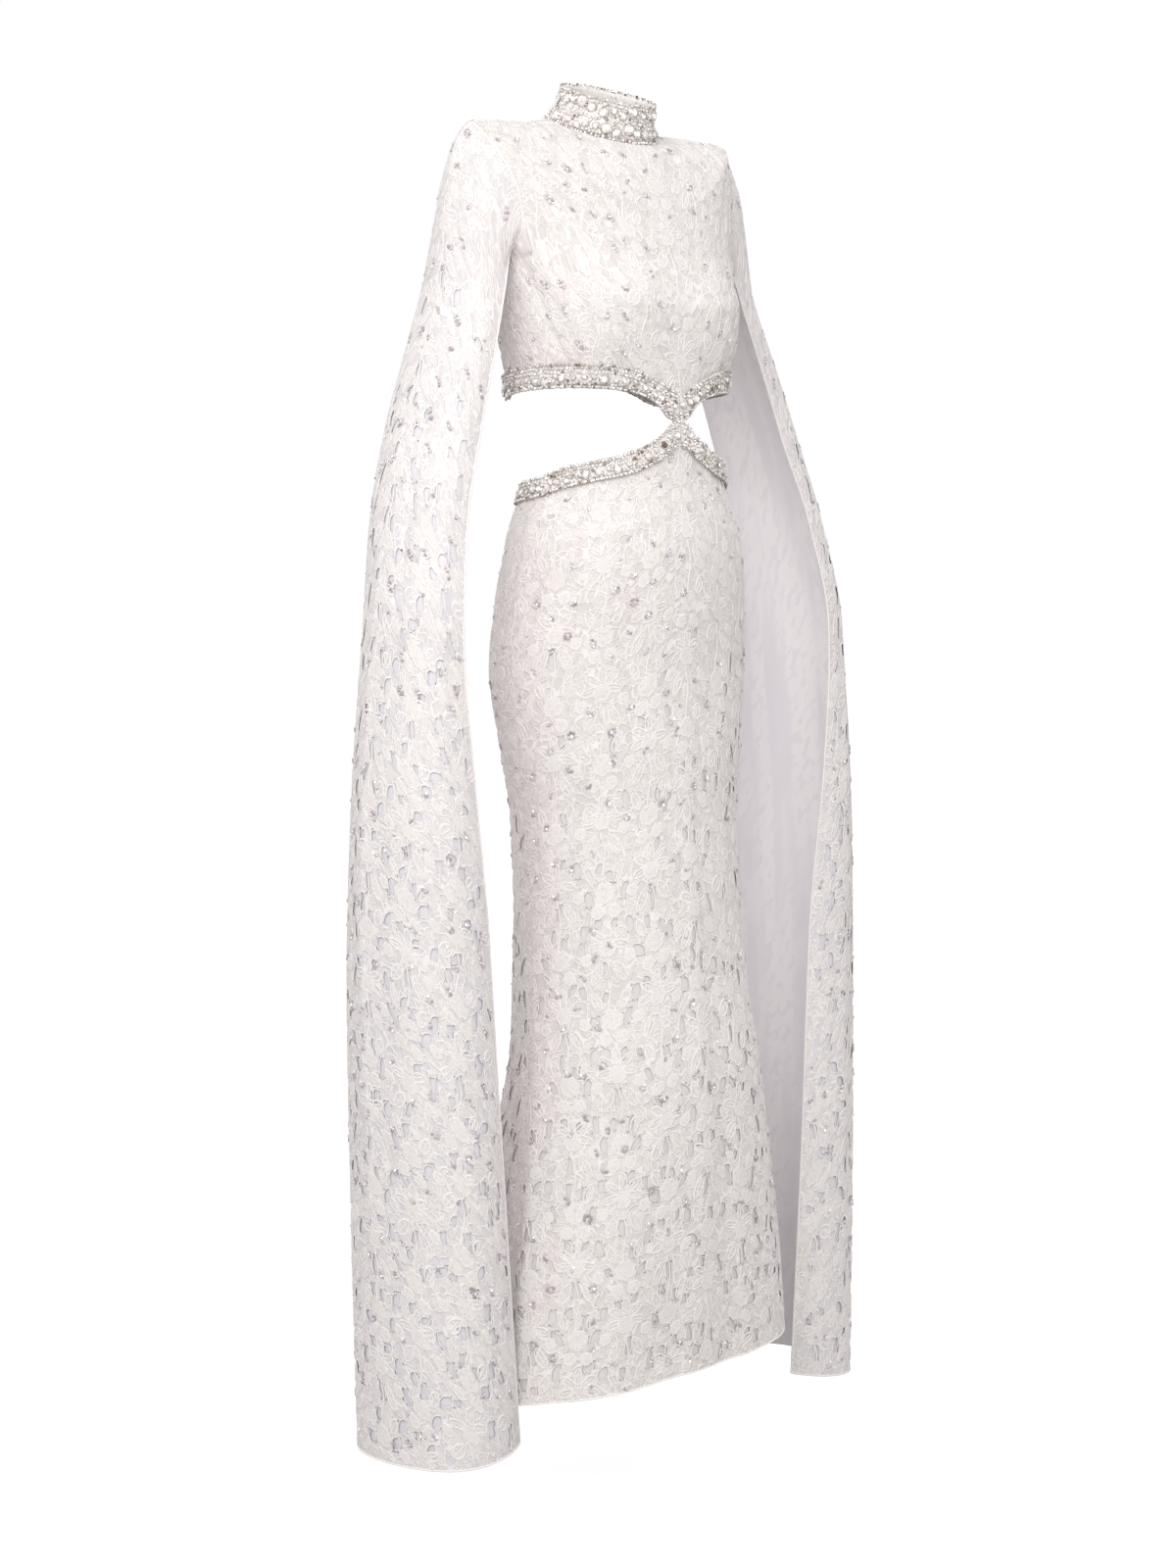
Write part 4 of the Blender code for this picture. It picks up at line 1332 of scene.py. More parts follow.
    def panel(self, half: Half, creases: tuple[Crease, ...]) -> ClothForm:
        """Smooth form of the front or the back."""
        levels = self.levels()
        at = np.linspace(0, levels[-1], self.smooth_rows)
        return ClothForm(through_rows(levels, self.coarse(half), at), creases)

    def armhole(self, across: Array) -> Array:
        """Points of the left armhole, from its front at the underarm over the shoulder."""
        levels = self.levels()
        span = self.underarm_row - self.shoulder_row
        index = np.where(across <= 0.5, self.underarm_row - 2 * span * across,
                         self.shoulder_row + 2 * span * (across - 0.5))
        at = np.interp(index, np.arange(len(levels)), levels)
        front = through_rows(levels, self.coarse(Half.FRONT)[:, -1], at)
        back = through_rows(levels, self.coarse(Half.BACK)[:, 0], at)
        return np.where((across <= 0.5)[:, None], front, back)


@dataclass
class SkirtForm:
    """Sizes and surfaces of the trumpet skirt."""

    sections: Table = Table(
        ("z", "half_width", "front_depth", "back_depth", "centre_y", "power"),
        (
            (-0.335, 0.1190, 0.0920, 0.0930, -0.0360, 2.0),
            (-0.400, 0.1230, 0.0940, 0.0970, -0.0370, 2.0),
            (-0.470, 0.1470, 0.1080, 0.1090, -0.0370, 2.0),
            (-0.540, 0.1570, 0.1150, 0.1160, -0.0310, 2.0),
            (-0.615, 0.1620, 0.1160, 0.1170, -0.0260, 2.0),
            (-0.700, 0.1520, 0.1130, 0.1160, -0.0320, 2.0),
            (-0.780, 0.1400, 0.1100, 0.1140, -0.0370, 2.0),
            (-0.863, 0.1380, 0.1140, 0.1140, -0.0410, 2.0),
            (-0.973, 0.1420, 0.1170, 0.1160, -0.0470, 2.1),
            (-1.070, 0.1520, 0.1210, 0.1240, -0.0560, 2.2),
            (-1.160, 0.1640, 0.1240, 0.1440, -0.0560, 2.3),
            (-1.290, 0.1830, 0.1260, 0.1880, -0.0530, 2.5),
            (-1.430, 0.1960, 0.1280, 0.2300, -0.0500, 2.6),
            (-1.500, 0.2000, 0.1290, 0.2420, -0.0500, 2.6),
        ),
    )
    edges: Table = Table(
        ("angle", "top", "band"),
        (
            (0, -0.3402, -0.3640), (5, -0.3430, -0.3700), (10, -0.3535, -0.3780),
            (18, -0.3640, -0.3870),
            (30, -0.3755, -0.3970), (48, -0.3850, -0.4045), (64, -0.3900, -0.4110),
            (90, -0.4030, -0.4235), (125, -0.4090, -0.4300), (180, -0.4120, -0.4340),
        ),
    )
    hem: Table = Table(
        ("angle", "z"),
        (
            (-180, -1.4650), (-135, -1.4500), (-90, -1.4240), (-45, -1.4110), (0, -1.3960),
            (45, -1.3860), (90, -1.4080), (135, -1.4450), (180, -1.4650),
        ),
    )
    folds: Table = Table(
        ("top_z", "top_angle", "hem_angle", "half_angle", "height"),
        (
            (-0.90, 92, 78, 10, 0.0080), (-0.90, 110, 98, 11, -0.0090),
            (-0.90, -92, -78, 10, 0.0080),
            (-0.90, -110, -98, 11, -0.0090), (-1.00, 28, 33, 13, 0.0040),
            (-1.05, -26, -30, 12, 0.0035),
            (-1.00, 150, 146, 13, 0.0090), (-1.02, -148, -143, 14, 0.0080),
            (-1.05, 172, 170, 11, -0.0060),
            (-0.52, -1, -3, 4, 0.0034), (-0.52, 8, 7, 5, -0.0036), (-1.10, -52, -57, 7, -0.0024),
            (-1.15, 55, 60, 7, -0.0024), (-1.20, 10, 14, 6, 0.0016),
            (-1.12, -128, -124, 8, -0.0030),
            (-1.16, 130, 127, 8, -0.0028), (-0.88, -91, -78, 2.6, 0.0030),
            (-0.88, -97, -84, 3.2, -0.0034),
            (-0.88, 91, 78, 2.6, 0.0024), (-0.88, 97, 84, 3.2, -0.0028),
        ),
    )
    columns: int = 161
    band_rows: int = 12
    body_rows: int = 330

    def points(self, angle: Array, height: Array, out: float = 0.0) -> Array:
        """Points on the skirt's outer face, or moved out from it."""
        ring = {name: self.sections.read(name, height) for name in self.sections.names[1:]}
        hem = self.hem.read("z", signed_angle(angle))
        lift = np.full(np.shape(angle), out)
        for top_z, top_angle, hem_angle, half_angle, rise in self.folds.rows:
            share = (top_z - height) / (top_z - hem)
            away = signed_angle(angle - (top_angle + (hem_angle - top_angle) * share))
            lift = lift + rise * np.clip(share, 0, 1) * soft_hump(away, half_angle)
        return ring_points(ring, angle, height, lift)

    def band_points(self, angle: Array, share: Array | float, out: float = 0.0) -> Array:
        """Points between the top of the skirt (share 0) and its band's lower edge (share 1)."""
        turn = np.abs(signed_angle(angle))
        top = self.edges.read("top", turn)
        low = self.edges.read("band", turn)
        return self.points(angle, top + (low - top) * share, out)

    def panel(self, half: Half, creases: tuple[Crease, ...]) -> ClothForm:
        """Smooth form of the front or the back."""
        angle = half.value + np.linspace(-90, 90, self.columns)
        shares = np.linspace(0, 1, self.band_rows, endpoint=False)
        rows = [self.band_points(angle, share) for share in shares]
        low = self.edges.read("band", np.abs(signed_angle(angle)))
        hem = self.hem.read("z", signed_angle(angle))
        for share in np.linspace(0, 1, self.body_rows):
            rows.append(self.points(angle, low + (hem - low) * share))
        return ClothForm(np.stack(rows), creases)


@dataclass
class SleeveForm:
    """Sizes and surface of the left cape sleeve, an arc that stays open towards the body."""

    bodice: BodiceForm
    sections: Table = Table(
        ("z", "centre_x", "centre_y", "half_width", "half_depth", "front_end", "back_end"),
        (
            (-0.190, 0.1740, 0.0200, 0.0470, 0.0600, 92, 84),
            (-0.270, 0.2030, 0.0140, 0.0480, 0.0650, 97, 82),
            (-0.350, 0.2290, 0.0090, 0.0500, 0.0690, 98, 80),
            (-0.450, 0.2560, -0.0030, 0.0520, 0.0720, 93, 86),
            (-0.570, 0.2720, -0.0160, 0.0560, 0.0750, 91, 94),
            (-0.740, 0.2760, -0.0160, 0.0650, 0.0830, 104, 106),
            (-0.930, 0.2730, -0.0150, 0.0730, 0.0900, 117, 115),
            (-1.200, 0.2650, -0.0180, 0.0770, 0.0960, 122, 121),
            (-1.478, 0.2540, -0.0210, 0.0810, 0.1000, 126, 124),
        ),
    )
    folds: Table = Table(
        ("top_z", "across", "half_across", "height"),
        ((-0.42, 0.24, 0.10, 0.0040), (-0.60, 0.44, 0.12, -0.0045), (-0.50, 0.66, 0.11, 0.0045),
         (-0.75, 0.84, 0.09, -0.0040)),
    )
    head_reach: float = 0.024
    head_drop: float = 0.090
    head_lean: float = -0.10
    seam_fall: float = -0.08
    seam_stand: float = 0.006
    ring_stand: float = 0.010
    hem_front_rise: float = 0.020
    hem_back_rise: float = 0.012
    columns: int = 121
    head_rows: int = 46
    body_rows: int = 380
    joint_rows: int = 24
    joint_passes: int = 60
    seam_gap: float = 0.0004

    def ring(self, height: Array, across: Array, fall: float) -> Array:
        """Points of the open arc at a height."""
        sizes = {name: self.sections.read(name, height) for name in self.sections.names[1:]}
        turn = np.radians(-sizes["front_end"] + (sizes["front_end"] + sizes["back_end"]) * across)
        out = unit(np.stack([np.cos(turn) / sizes["half_width"], np.sin(turn) / sizes["half_depth"],
                             np.zeros_like(turn)], axis=-1))
        last_z = self.sections.rows[-1][0]
        lift = np.zeros_like(turn)
        for top_z, middle, half, rise in self.folds.rows:
            depth = np.maximum(0.0, (top_z - height) / (top_z - last_z))
            lift = lift + rise * depth * soft_hump(across - middle, half)
        hem_rise = self.hem_front_rise * (1 - across) ** 3 + self.hem_back_rise * across ** 3
        points = np.stack([sizes["centre_x"] + sizes["half_width"] * np.cos(turn),
                           sizes["centre_y"] + sizes["half_depth"] * np.sin(turn),
                           height + hem_rise * fall ** 2], axis=-1)
        return points + out * lift[..., None]

    def panel(self, creases: tuple[Crease, ...]) -> ClothForm:
        """Smooth form of the left sleeve, from its armhole seam to its hem."""
        across = np.linspace(0, 1, self.columns)
        seam = self.bodice.armhole(across) + np.array([self.seam_gap, 0.0, 0.0])
        top = self.sections.rows[0][0]
        hem = self.sections.rows[-1][0]
        first_ring = self.ring(np.full(self.columns, top), across, 0.0)
        weight = ((seam[:, 2] - seam[:, 2].min()) / np.ptp(seam[:, 2]))[:, None]
        outward = np.array([1.0, 0.0, self.seam_fall])
        upward = np.array([self.head_lean, 0.0, 1.0])
        first = seam + outward * (self.seam_stand + self.head_reach * weight)
        second = first_ring + upward * (self.ring_stand + self.head_drop * weight)
        rows = []
        for t in np.linspace(0, 1, self.head_rows, endpoint=False):
            rows.append(seam * (1 - t) ** 3 + first * (3 * t * (1 - t) ** 2)
                        + second * (3 * t * t * (1 - t)) + first_ring * t ** 3)
        for fall in np.linspace(0, 1, self.body_rows):
            height = np.full(self.columns, top + (hem - top) * fall)
            rows.append(self.ring(height, across, float(fall)))
        points = np.stack(rows)
        low, high = self.head_rows - self.joint_rows, self.head_rows + self.joint_rows
        for _ in range(self.joint_passes):
            points[low:high] = (points[low - 1:high - 1] + 2 * points[low:high]
                                + points[low + 1:high + 1]) / 4
        return ClothForm(points, creases)


# Pieces of the dress


@dataclass(frozen=True)
class FlatCut:
    """Width, length and area of a panel before it was sewn, in metres."""

    width: float
    length: float
    area: float

    def state(self, item: bpy.types.Object, rests_on: tuple[str, ...], **more: object) -> None:
        """Go through the pieces that a piece of this cut rests on, and do nothing more."""
        list(rests_on)


@dataclass(frozen=True)
class HalfPlan:
    """What the front and the back of a part have of their own."""

    half: Half
    seed: int
    cut: FlatCut
    creases: tuple[Crease, ...]


def hem_roll(paths: list[tuple[Array, Array]], radius: float, sides: int = 6,
             every: int = 2) -> MeshParts:
    """Thin rolled edge along open paths.

    Args:
        paths: Points of each path, with their outward directions.
        radius: Radius of the roll.
        sides: Sides of its section.
        every: Distance between the points that are used.

    Returns:
        The parts of the mesh.
    """
    parts = MeshParts()
    turns = 2 * np.pi * np.arange(sides + 1) / sides
    for points, normals in paths:
        points = np.concatenate([points[:-1:every], points[-1:]])
        normals = np.concatenate([normals[:-1:every], normals[-1:]])
        along = unit(np.gradient(points, axis=0))
        side = unit(np.cross(along, normals))
        up = np.cross(side, along)
        ring = (points[:, None] + radius * (np.cos(turns)[None, :, None] * side[:, None]
                                            + np.sin(turns)[None, :, None] * up[:, None]))
        steps = np.linalg.norm(np.diff(points, axis=0), axis=1)
        length = np.concatenate([[0.0], np.cumsum(steps)])
        uvs = np.stack(np.meshgrid(turns * radius, length), axis=-1).reshape(-1, 2)
        parts.add(ring.reshape(-1, 3), grid_faces(len(points), sides + 1)[:, ::-1], uvs)
    return parts


@dataclass
class LaceLayer:
    """Lace net, cordwork and scattered stones of one panel, built together."""

    panel: LacePanel
    cut: FlatCut
    rests_on: tuple[str, ...]
    node: str
    ground: Look
    stone_seed_step: int = 50

    def build(self) -> None:
        """Make the layer's three pieces."""
        name = self.panel.name
        holes = self.panel.open_holes()
        net = self.panel.net(holes).piece("lace_" + name, (self.ground,), Slot.LACE, self.node)
        work = self.panel.cordwork(holes).piece("cordwork_" + name, (Look.CLOTH, Look.CORD),
                                                Slot.LACE)
        stones = ScatteredStones(self.panel.form, self.panel.seed + self.stone_seed_step).tray()
        looks = Look.SMALL_STONE, Look.SILVER, Look.SPARKLE
        sewn = stones.parts.piece("stones_" + name, looks, Slot.JEWELS, smooth=False)
        self.cut.state(net, self.rests_on, with_pieces=[work, sewn])
        LOG.info("%s: %d open gaps", name, len(holes))


@dataclass(frozen=True)
class Lining:
    """Plain lining that hangs inside a lace layer."""

    look: Look
    slot: Slot
    top_clearance: float = 0.0011
    hem_clearance: float = 0.0016
    cell: float = 0.011

    def build(self, layer: LaceLayer) -> ClothForm:
        """Make the lining of one lace layer and give back its form."""
        name = layer.panel.name
        form = layer.panel.form.moved_in(self.top_clearance, self.hem_clearance)
        shape, points, places = form.cells(self.cell)
        parts = MeshParts()
        parts.add(points, grid_faces(*shape), places)
        item = parts.piece("lining_" + name, (self.look,), self.slot,
                           name.replace("_", "_lining_"))
        layer.cut.state(item, ("lace_" + name,))
        return form


@dataclass
class Bodice:
    """Cropped bodice of corded lace, front and back."""

    form: BodiceForm
    pattern: LacePattern
    front: HalfPlan = HalfPlan(Half.FRONT, 11, FlatCut(0.42, 0.33, 0.112), (
        Crease((0.06, 0.52), (0.16, 0.98), 0.014, -0.0030),
        Crease((0.10, 0.50), (0.24, 0.95), 0.016, 0.0024),
        Crease((0.93, 0.52), (0.86, 0.98), 0.014, -0.0030),
        Crease((0.89, 0.50), (0.78, 0.93), 0.018, 0.0022),
        Crease((0.30, 0.62), (0.40, 0.96), 0.020, -0.0016),
        Crease((0.68, 0.60), (0.61, 0.97), 0.020, -0.0016),
        Crease((0.16, 0.22), (0.22, 0.55), 0.022, -0.0015),
        Crease((0.84, 0.22), (0.79, 0.55), 0.022, -0.0015),
    ))
    back: HalfPlan = HalfPlan(Half.BACK, 12, FlatCut(0.38, 0.31, 0.096), (
        Crease((0.08, 0.45), (0.20, 0.96), 0.018, -0.0028),
        Crease((0.90, 0.48), (0.81, 0.97), 0.018, -0.0028),
        Crease((0.44, 0.30), (0.47, 0.92), 0.022, -0.0016),
        Crease((0.57, 0.36), (0.54, 0.95), 0.024, -0.0014),
    ))
    hem_radius: float = 0.0009

    def build(self) -> None:
        """Make the front and back panels with their neat hems."""
        paths = []
        for plan in (self.front, self.back):
            name = "bodice_" + plan.half.name.lower()
            form = self.form.panel(plan.half, plan.creases)
            panel = LacePanel(name, form, None, self.pattern, plan.seed)
            LaceLayer(panel, plan.cut, ("collar",), name, Look.SKIRT_GROUND).build()
            paths.append(form.edge(row=-1))
        hem_roll(paths, self.hem_radius).piece("bodice_hem", (Look.CORD,), Slot.LACE)


@dataclass
class Skirt:
    """Trumpet skirt: corded lace over a plain lining, front and back."""

    form: SkirtForm
    pattern: LacePattern
    front: HalfPlan = HalfPlan(Half.FRONT, 21, FlatCut(0.54, 1.06, 0.49), (
        Crease((0.30, 0.10), (0.36, 0.34), 0.030, -0.0016),
        Crease((0.66, 0.08), (0.60, 0.32), 0.030, -0.0016),
        Crease((0.22, 0.40), (0.27, 0.78), 0.030, 0.0018),
        Crease((0.74, 0.42), (0.70, 0.80), 0.030, 0.0018),
    ))
    back: HalfPlan = HalfPlan(Half.BACK, 22, FlatCut(0.73, 1.09, 0.58), (
        Crease((0.48, 0.30), (0.50, 0.80), 0.028, -0.0030),
        Crease((0.30, 0.36), (0.24, 0.84), 0.030, 0.0022),
        Crease((0.71, 0.38), (0.77, 0.86), 0.030, 0.0022),
    ))
    lining: Lining = Lining(Look.SKIRT_LINING, Slot.SKIRT_LINING)
    gaps: GapZone = GapZone(0.18, 0.62)
    hem_radius: float = 0.0010

    def build(self) -> None:
        """Make both panels, their linings and the hem."""
        paths = []
        for plan in (self.front, self.back):
            half = plan.half.name.lower()
            form = self.form.panel(plan.half, plan.creases)
            panel = LacePanel("skirt_" + half, form, self.gaps, self.pattern, plan.seed)
            layer = LaceLayer(panel, plan.cut, ("bodice_front",), "skirt_lace_" + half,
                              Look.SKIRT_GROUND)
            layer.build()
            paths += [form.edge(row=-1), self.lining.build(layer).edge(row=-1)]
        hem_roll(paths, self.hem_radius).piece("skirt_hem", (Look.CORD,), Slot.LACE)


@dataclass
class Sleeves:
    """Two open cape sleeves: corded lace over a sheer lining."""

    form: SleeveForm
    pattern: LacePattern
    creases: tuple[Crease, ...] = (
        Crease((0.10, 0.20), (0.16, 0.62), 0.030, 0.0022),
        Crease((0.34, 0.12), (0.38, 0.50), 0.035, -0.0022),
        Crease((0.55, 0.30), (0.52, 0.86), 0.030, 0.0026),
        Crease((0.76, 0.26), (0.74, 0.74), 0.030, -0.0024),
        Crease((0.90, 0.40), (0.92, 0.97), 0.026, 0.0022),
        Crease((0.22, 0.55), (0.20, 0.99), 0.028, -0.0022),
    )
    cut: FlatCut = FlatCut(0.40, 1.50, 0.46)
    lining: Lining = Lining(Look.SLEEVE_LINING, Slot.SLEEVE_LINING)
    gaps: GapZone = GapZone(0.10, 0.34)
    edge_radius: float = 0.0011

    def build(self) -> None:
        """Make both sleeves, their linings and their edges."""
        left = self.form.panel(self.creases)
        for side, form, seed in ((Side.LEFT, left, 31), (Side.RIGHT, left.mirrored(), 32)):
            name = side.name.lower()
            panel = LacePanel("sleeve_" + name, form, self.gaps, self.pattern, seed)
            layer = LaceLayer(panel, self.cut, ("bodice_front", "bodice_back"),
                              "sleeve_lace_" + name, Look.SLEEVE_GROUND)
            layer.build()
            self.lining.build(layer)
            paths = [form.edge(row=-1), form.edge(column=0), form.edge(column=-1),
                     form.edge(row=0)]
            roll = hem_roll(paths, self.edge_radius)
            roll.piece("sleeve_edge_" + name, (Look.CORD,), Slot.LACE)


@dataclass
class Collar:
    """Jewelled stand collar."""

    rows: Table = Table(
        ("row", "half_width", "half_depth", "centre_y", "centre_z", "slope"),
        ((0, 0.0525, 0.0530, -0.0080, 0.0270, 0.33), (1, 0.0530, 0.0535, -0.0040, 0.0150, 0.34),
         (2, 0.0560, 0.0565, 0.0000, 0.0030, 0.35), (3, 0.0622, 0.0622, 0.0040, -0.0090, 0.36)),
    )
    columns: int = 181
    smooth_rows: int = 25

    def form(self) -> ClothForm:
        """Smooth form of the collar, open at the back centre."""
        turn = np.linspace(-np.pi, np.pi, self.columns)
        at = np.linspace(0, self.rows.rows[-1][0], self.smooth_rows)
        size = {name: self.rows.read(name, at)[:, None] for name in self.rows.names[1:]}
        y = size["centre_y"] - size["half_depth"] * np.cos(turn)
        z = size["centre_z"] + size["slope"] * (y - size["centre_y"])
        x = size["half_width"] * np.sin(turn)
        points = np.stack([np.broadcast_to(x, y.shape), y, z], axis=-1)
        return ClothForm(points, columns=self.columns)

    def build(self) -> None:
        """Make the collar's wall and its stones."""
        JewelledStrip("collar", self.form(), 41, rows=2, painted_glow_share=0.30).build()


@dataclass
class JewelledStrip:
    """Braid covered with large stones in silver cups, packed round with small ones."""

    name: str
    form: ClothForm
    seed: int
    rows: int = 1
    wall: float = 0.0020
    large: float = 0.0048
    large_range: tuple[float, float] = (0.55, 1.12)
    large_stray: tuple[float, float] = (0.0012, 0.0022)
    oval: float = 1.3
    small: float = 0.0017
    small_range: tuple[float, float] = (0.78, 1.22)
    small_stray: tuple[float, float] = (0.0005, 0.0006)
    step: float = 0.0118
    pitch: float = 0.0041
    edge: float = 0.0004
    inset: float = 0.0009
    sewn_down: float = 0.00081
    # Shares of the large stones, and below of the small ones, that get the painted glowing
    # highlight.
    painted_glow_share: float = 0.15
    round_share: float = 0.75
    small_painted_glow_share: float = 0.28
    lift: float = 0.0003

    def build(self) -> None:
        """Make the strip's backing and its stones."""
        self._backing().piece(self.name + "_backing", (Look.BRAID,), Slot.JEWELS, self.name)
        tray = StoneTray(self.form, self.seed)
        length = float(self.form.width.mean())
        self._lay_fill(tray, length, self._lay_large(tray, length))
        looks = Look.CLEAR_STONE, Look.SILVER, Look.SPARKLE
        tray.parts.piece(self.name + "_stones", looks, Slot.JEWELS, smooth=False)

    def _backing(self) -> MeshParts:
        """Closed wall under the stones, a little narrower than they reach."""
        skip = max(1, round(self.inset / self.form.length * (self.form.rows - 1)))
        outer = self.form.points[skip:-skip]
        normals = self.form.normals[skip:-skip]
        every = max(1, len(outer) // 8)
        edge = np.abs(np.linspace(-1, 1, len(outer)))[:, None, None] ** 5
        inner = outer - normals * (self.wall + self.sewn_down)
        outer = outer - normals * (self.wall * edge)
        loop = np.concatenate([outer[::every], inner[::-every], outer[:1]])[:, ::2]
        rows, columns = loop.shape[:2]
        uvs = np.stack(np.meshgrid(np.arange(columns) * 0.004, np.arange(rows) * 0.002), axis=-1)
        parts = MeshParts()
        parts.add(loop.reshape(-1, 3), grid_faces(rows, columns), uvs.reshape(-1, 2))
        return parts

    def _lay_large(self, tray: StoneTray, length: float) -> Array:
        """Lay the large stones.

        Args:
            tray: Tray of the strip.
            length: Length of the strip.

        Returns:
            Place and radius of each large stone, one row each.
        """
        count = max(2, round(length / self.step))
        along = ((np.arange(count) + 0.5) / count - 0.5) * length
        spots = []
        for row in range(self.rows):
            spot = along + self.step / 2 * (row % 2)
            spot = spot + tray.rng.normal(0, self.large_stray[0], count)
            fall = self.form.length * (row + 0.5) / self.rows
            fall = fall + tray.rng.normal(0, self.large_stray[1], count)
            size = self.large * tray.rng.uniform(*self.large_range, count)
            if self.rows > 1:
                size = size * (0.80 + 0.48 * np.cos(np.clip(spot / length, -0.5, 0.5) * np.pi))
            spots.append(np.stack([spot, fall, size], axis=1))
        spots = np.concatenate(spots)
        spots = spots[np.abs(spots[:, 0]) < length / 2 - self.large]
        draw = tray.rng.random(len(spots))
        bounds = (0.0, self.painted_glow_share, 2 * self.painted_glow_share, self.round_share, 1.0)
        plain = StoneCut(9, table=0.48, crown=0.36, cup=True, prongs=4, dark_reflection_share=0.06)
        for index, (low, high) in enumerate(zip(bounds, bounds[1:])):
            x, y, size = spots[(draw >= low) & (draw < high)].T
            stretch = self.oval if index % 2 else 1.0
            cut = replace(plain, sparkles=index < 2, stretch=stretch)
            tray.lay(cut, x, y, size / math.sqrt(stretch), self.lift)
        return spots

    def _lay_fill(self, tray: StoneTray, length: float, spots: Array) -> None:
        """Pack small stones round the large ones and just over both edges.

        Args:
            tray: Tray of the strip.
            length: Length of the strip.
            spots: Place and radius of each large stone.
        """
        height = self.form.length
        lines = max(3, round((height - 2 * self.edge) / self.pitch) + 1)
        count = round(length / self.pitch)
        plain = StoneCut(6, cup=True, dark_reflection_share=0.20)
        for index, fall in enumerate(np.linspace(self.edge, height - self.edge, lines)):
            along = ((np.arange(count) + 0.5 + 0.5 * (index % 2)) / count - 0.5) * length
            along = along + tray.rng.normal(0, self.small_stray[0], count)
            down = np.clip(fall + tray.rng.normal(0, self.small_stray[1], count), 0, height)
            size = self.small * tray.rng.uniform(*self.small_range, count)
            away = np.hypot(along[:, None] - spots[:, 0], down[:, None] - spots[:, 1])
            clear = (away - spots[:, 2] * 1.1).min(axis=1) > size * 0.75
            keep = clear & (np.abs(along) < length / 2 - size)
            # Some small stones get the painted glowing highlight.
            with_painted_glow = tray.rng.random(count) < self.small_painted_glow_share
            for chosen, sparkles in ((keep & ~with_painted_glow, False), (keep & with_painted_glow, True)):
                cut = replace(plain, sparkles=sparkles)
                tray.lay(cut, along[chosen], down[chosen], size[chosen], self.lift)


@dataclass
class WaistBands:
    """Jewelled bands along the bodice hem and the skirt top, which cross at the front."""

    bodice: BodiceForm
    skirt: SkirtForm
    clearance: float = 0.0010
    wall: float = 0.0020
    columns: int = 181
    shares: int = 17
    first_seed: int = 51
    wrap_half_width: float = 0.0052
    wrap_half_height: float = 0.0105
    wrap_flare: float = 0.8
    wrap_stand: float = 0.0012
    wrap_depth: float = 0.0024

    def form(self, level: str, side: Side) -> ClothForm:
        """Form of half a band, from the front centre to the back centre."""
        place = self.bodice.band_points if level == "upper" else self.skirt.band_points
        angle = np.linspace(0.1, 179.9, self.columns)
        angle = angle if side is Side.LEFT else -angle[::-1]
        return ClothForm(np.stack([place(angle, share, self.clearance + self.wall)
                                   for share in np.linspace(0, 1, self.shares)]))

    def crossing(self) -> MeshParts:
        """Small lace wrap where the bodice point meets the skirt point."""
        share = np.linspace(-1, 1, 13)
        height = self.bodice.edges.rows[0][2] - share * self.wrap_half_height
        half = self.wrap_half_width * (1 + self.wrap_flare * share ** 2)
        across = np.linspace(-1, 1, 11)
        ring = self.bodice.band_hem_ring
        turn = np.degrees(np.arcsin(half[:, None] * across[None] / ring[0]))
        outer = np.array([self.bodice.band_points(row, 1.0, self.wrap_stand) for row in turn])
        outer[..., 2] = height[:, None]
        outer[..., 1] -= self.wrap_stand * (1 - across[None] ** 2)
        outer = outer.transpose(1, 0, 2)
        inner = outer + np.array([0.0, self.wrap_depth, 0.0])
        loop = np.concatenate([outer[::-1], inner, outer[-1:]])
        parts = MeshParts()
        uvs = np.stack([loop[..., 0], loop[..., 2]], axis=-1).reshape(-1, 2)
        parts.add(loop.reshape(-1, 3), grid_faces(*loop.shape[:2]), uvs)
        return parts

    def build(self) -> None:
        """Make the four half bands and the wrap at their crossing."""
        self.crossing().piece("waist_crossing", (Look.CLOTH,), Slot.LACE)
        halves = [(level, side) for level in ("upper", "lower") for side in Side]
        for seed, (level, side) in enumerate(halves, self.first_seed):
            name = "band_" + level + "_" + side.name.lower()
            JewelledStrip(name, self.form(level, side), seed, wall=self.wall).build()


@dataclass(frozen=True)
class Lamp:
    """Soft round light, placed by the camera's directions and aimed at the dress's middle line."""

    name: str
    ahead: float
    aside: float
    height: float
    aim_height: float
    size: float
    power: float

    def build(self, ahead: Vector, aside: Vector) -> None:
        """Make the light."""
        light = bpy.data.lights.new(self.name, "AREA")
        light.shape = "DISK"
        light.size = self.size
        light.energy = self.power
        item = add_object(self.name, light)
        item.location = ahead * self.ahead + aside * self.aside + Vector((0, 0, self.height))
        way = Vector((0, 0, self.aim_height)) - item.location
        item.rotation_euler = way.to_track_quat("-Z", "Y").to_euler()


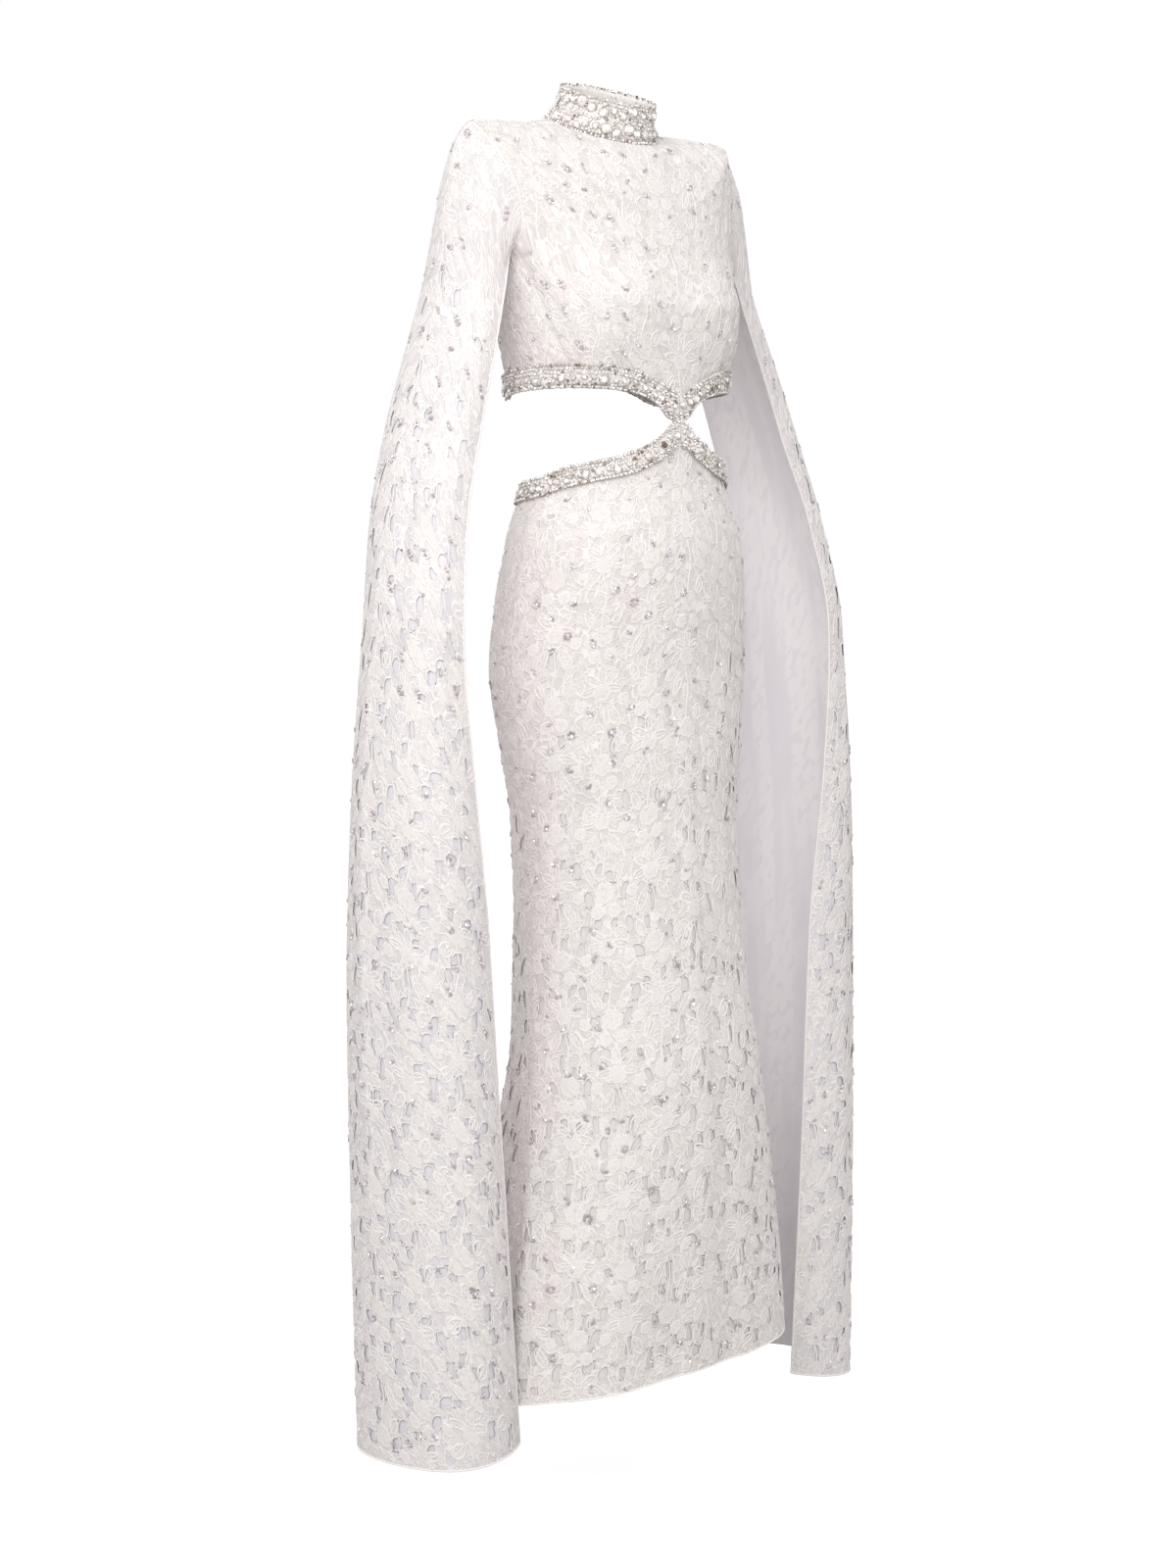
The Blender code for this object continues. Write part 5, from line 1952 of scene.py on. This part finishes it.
@dataclass
class Studio:
    """Pale floor, soft light and the camera at the photograph's viewing angle."""

    azimuth: float = -40.0
    tilt: float = 4.93
    distance: float = 3.37
    side_shift: float = 0.0177
    height: float = -0.46
    focal_pixels: float = 3003.0
    image_height: float = 1600.0
    sensor: float = 36.0
    floor_z: float = -1.56
    floor_reach: float = 14.0
    sky: float = 0.80
    lamps: tuple[Lamp, ...] = (
        Lamp("key", -2.3, -0.8, 1.1, -0.2, 1.8, 24.5),
        Lamp("fill", -2.4, 0.2, 0.2, -0.4, 1.6, 16.0),
        Lamp("back", 2.0, -1.5, 0.1, -0.7, 1.8, 12.0),
    )

    def directions(self) -> tuple[Vector, Vector]:
        """Level right and forward directions of the camera."""
        turn = math.radians(self.azimuth)
        right = Vector((math.cos(turn), math.sin(turn), 0.0))
        return right, Vector((-math.sin(turn), math.cos(turn), 0.0))

    def camera(self) -> None:
        """Make the camera and set it."""
        right, level = self.directions()
        tilt = math.radians(self.tilt)
        forward = level * math.cos(tilt) - Vector((0, 0, math.sin(tilt)))
        up = right.cross(forward)
        lens = bpy.data.cameras.new("camera")
        lens.sensor_fit = "VERTICAL"
        lens.sensor_height = self.sensor
        lens.sensor_width = self.sensor
        lens.lens = self.focal_pixels / self.image_height * self.sensor
        matrix = Matrix((right, up, -forward)).transposed().to_4x4()
        matrix.translation = (Vector((0, 0, self.height)) - level * self.distance
                              - right * self.side_shift)
        camera = add_object("camera", lens)
        camera.matrix_world = matrix
        bpy.context.scene.camera = camera

    def light(self) -> None:
        """Light the dress under a pale sky that the camera sees as white."""
        world = bpy.data.worlds.new("pale_sky")
        world.use_nodes = True
        tree = world.node_tree
        sky, shown = tree.nodes["Background"], tree.nodes.new("ShaderNodeBackground")
        for background, strength in ((sky, self.sky), (shown, 1.0)):
            background.inputs["Strength"].default_value = strength
            background.inputs["Color"].default_value = WHITE
        rays = tree.nodes.new("ShaderNodeLightPath")
        mix = tree.nodes.new("ShaderNodeMixShader")
        for source, target in ((rays.outputs["Is Camera Ray"], mix.inputs[0]),
                               (sky.outputs[0], mix.inputs[1]), (shown.outputs[0], mix.inputs[2]),
                               (mix.outputs[0], tree.nodes["World Output"].inputs["Surface"])):
            tree.links.new(source, target)
        bpy.context.scene.world = world
        right, level = self.directions()
        for lamp in self.lamps:
            lamp.build(level, right)

    def floor(self) -> None:
        """Lay the floor."""
        mesh = bpy.data.meshes.new("floor")
        signs = ((-1, -1), (1, -1), (1, 1), (-1, 1))
        corners = [(x * self.floor_reach, y * self.floor_reach, self.floor_z) for x, y in signs]
        mesh.from_pydata(corners, [], [(0, 1, 2, 3)])
        mesh.materials.append(FloorFinish().material())
        add_object("floor", mesh)

    def build(self) -> None:
        """Set up the whole studio."""
        self.camera()
        self.light()
        self.floor()
        bpy.context.scene.view_settings.view_transform = "Standard"


def main() -> None:
    """Build the dress piece by piece, then the studio round it."""
    logging.basicConfig(level=logging.INFO, format="%(message)s")
    pattern = LacePattern()
    bodice_form = BodiceForm()
    skirt_form = SkirtForm()
    Bodice(bodice_form, pattern).build()
    Skirt(skirt_form, pattern).build()
    Sleeves(SleeveForm(bodice_form), pattern).build()
    Collar().build()
    WaistBands(bodice_form, skirt_form).build()
    Studio().build()


if __name__ == "__main__":
    main()
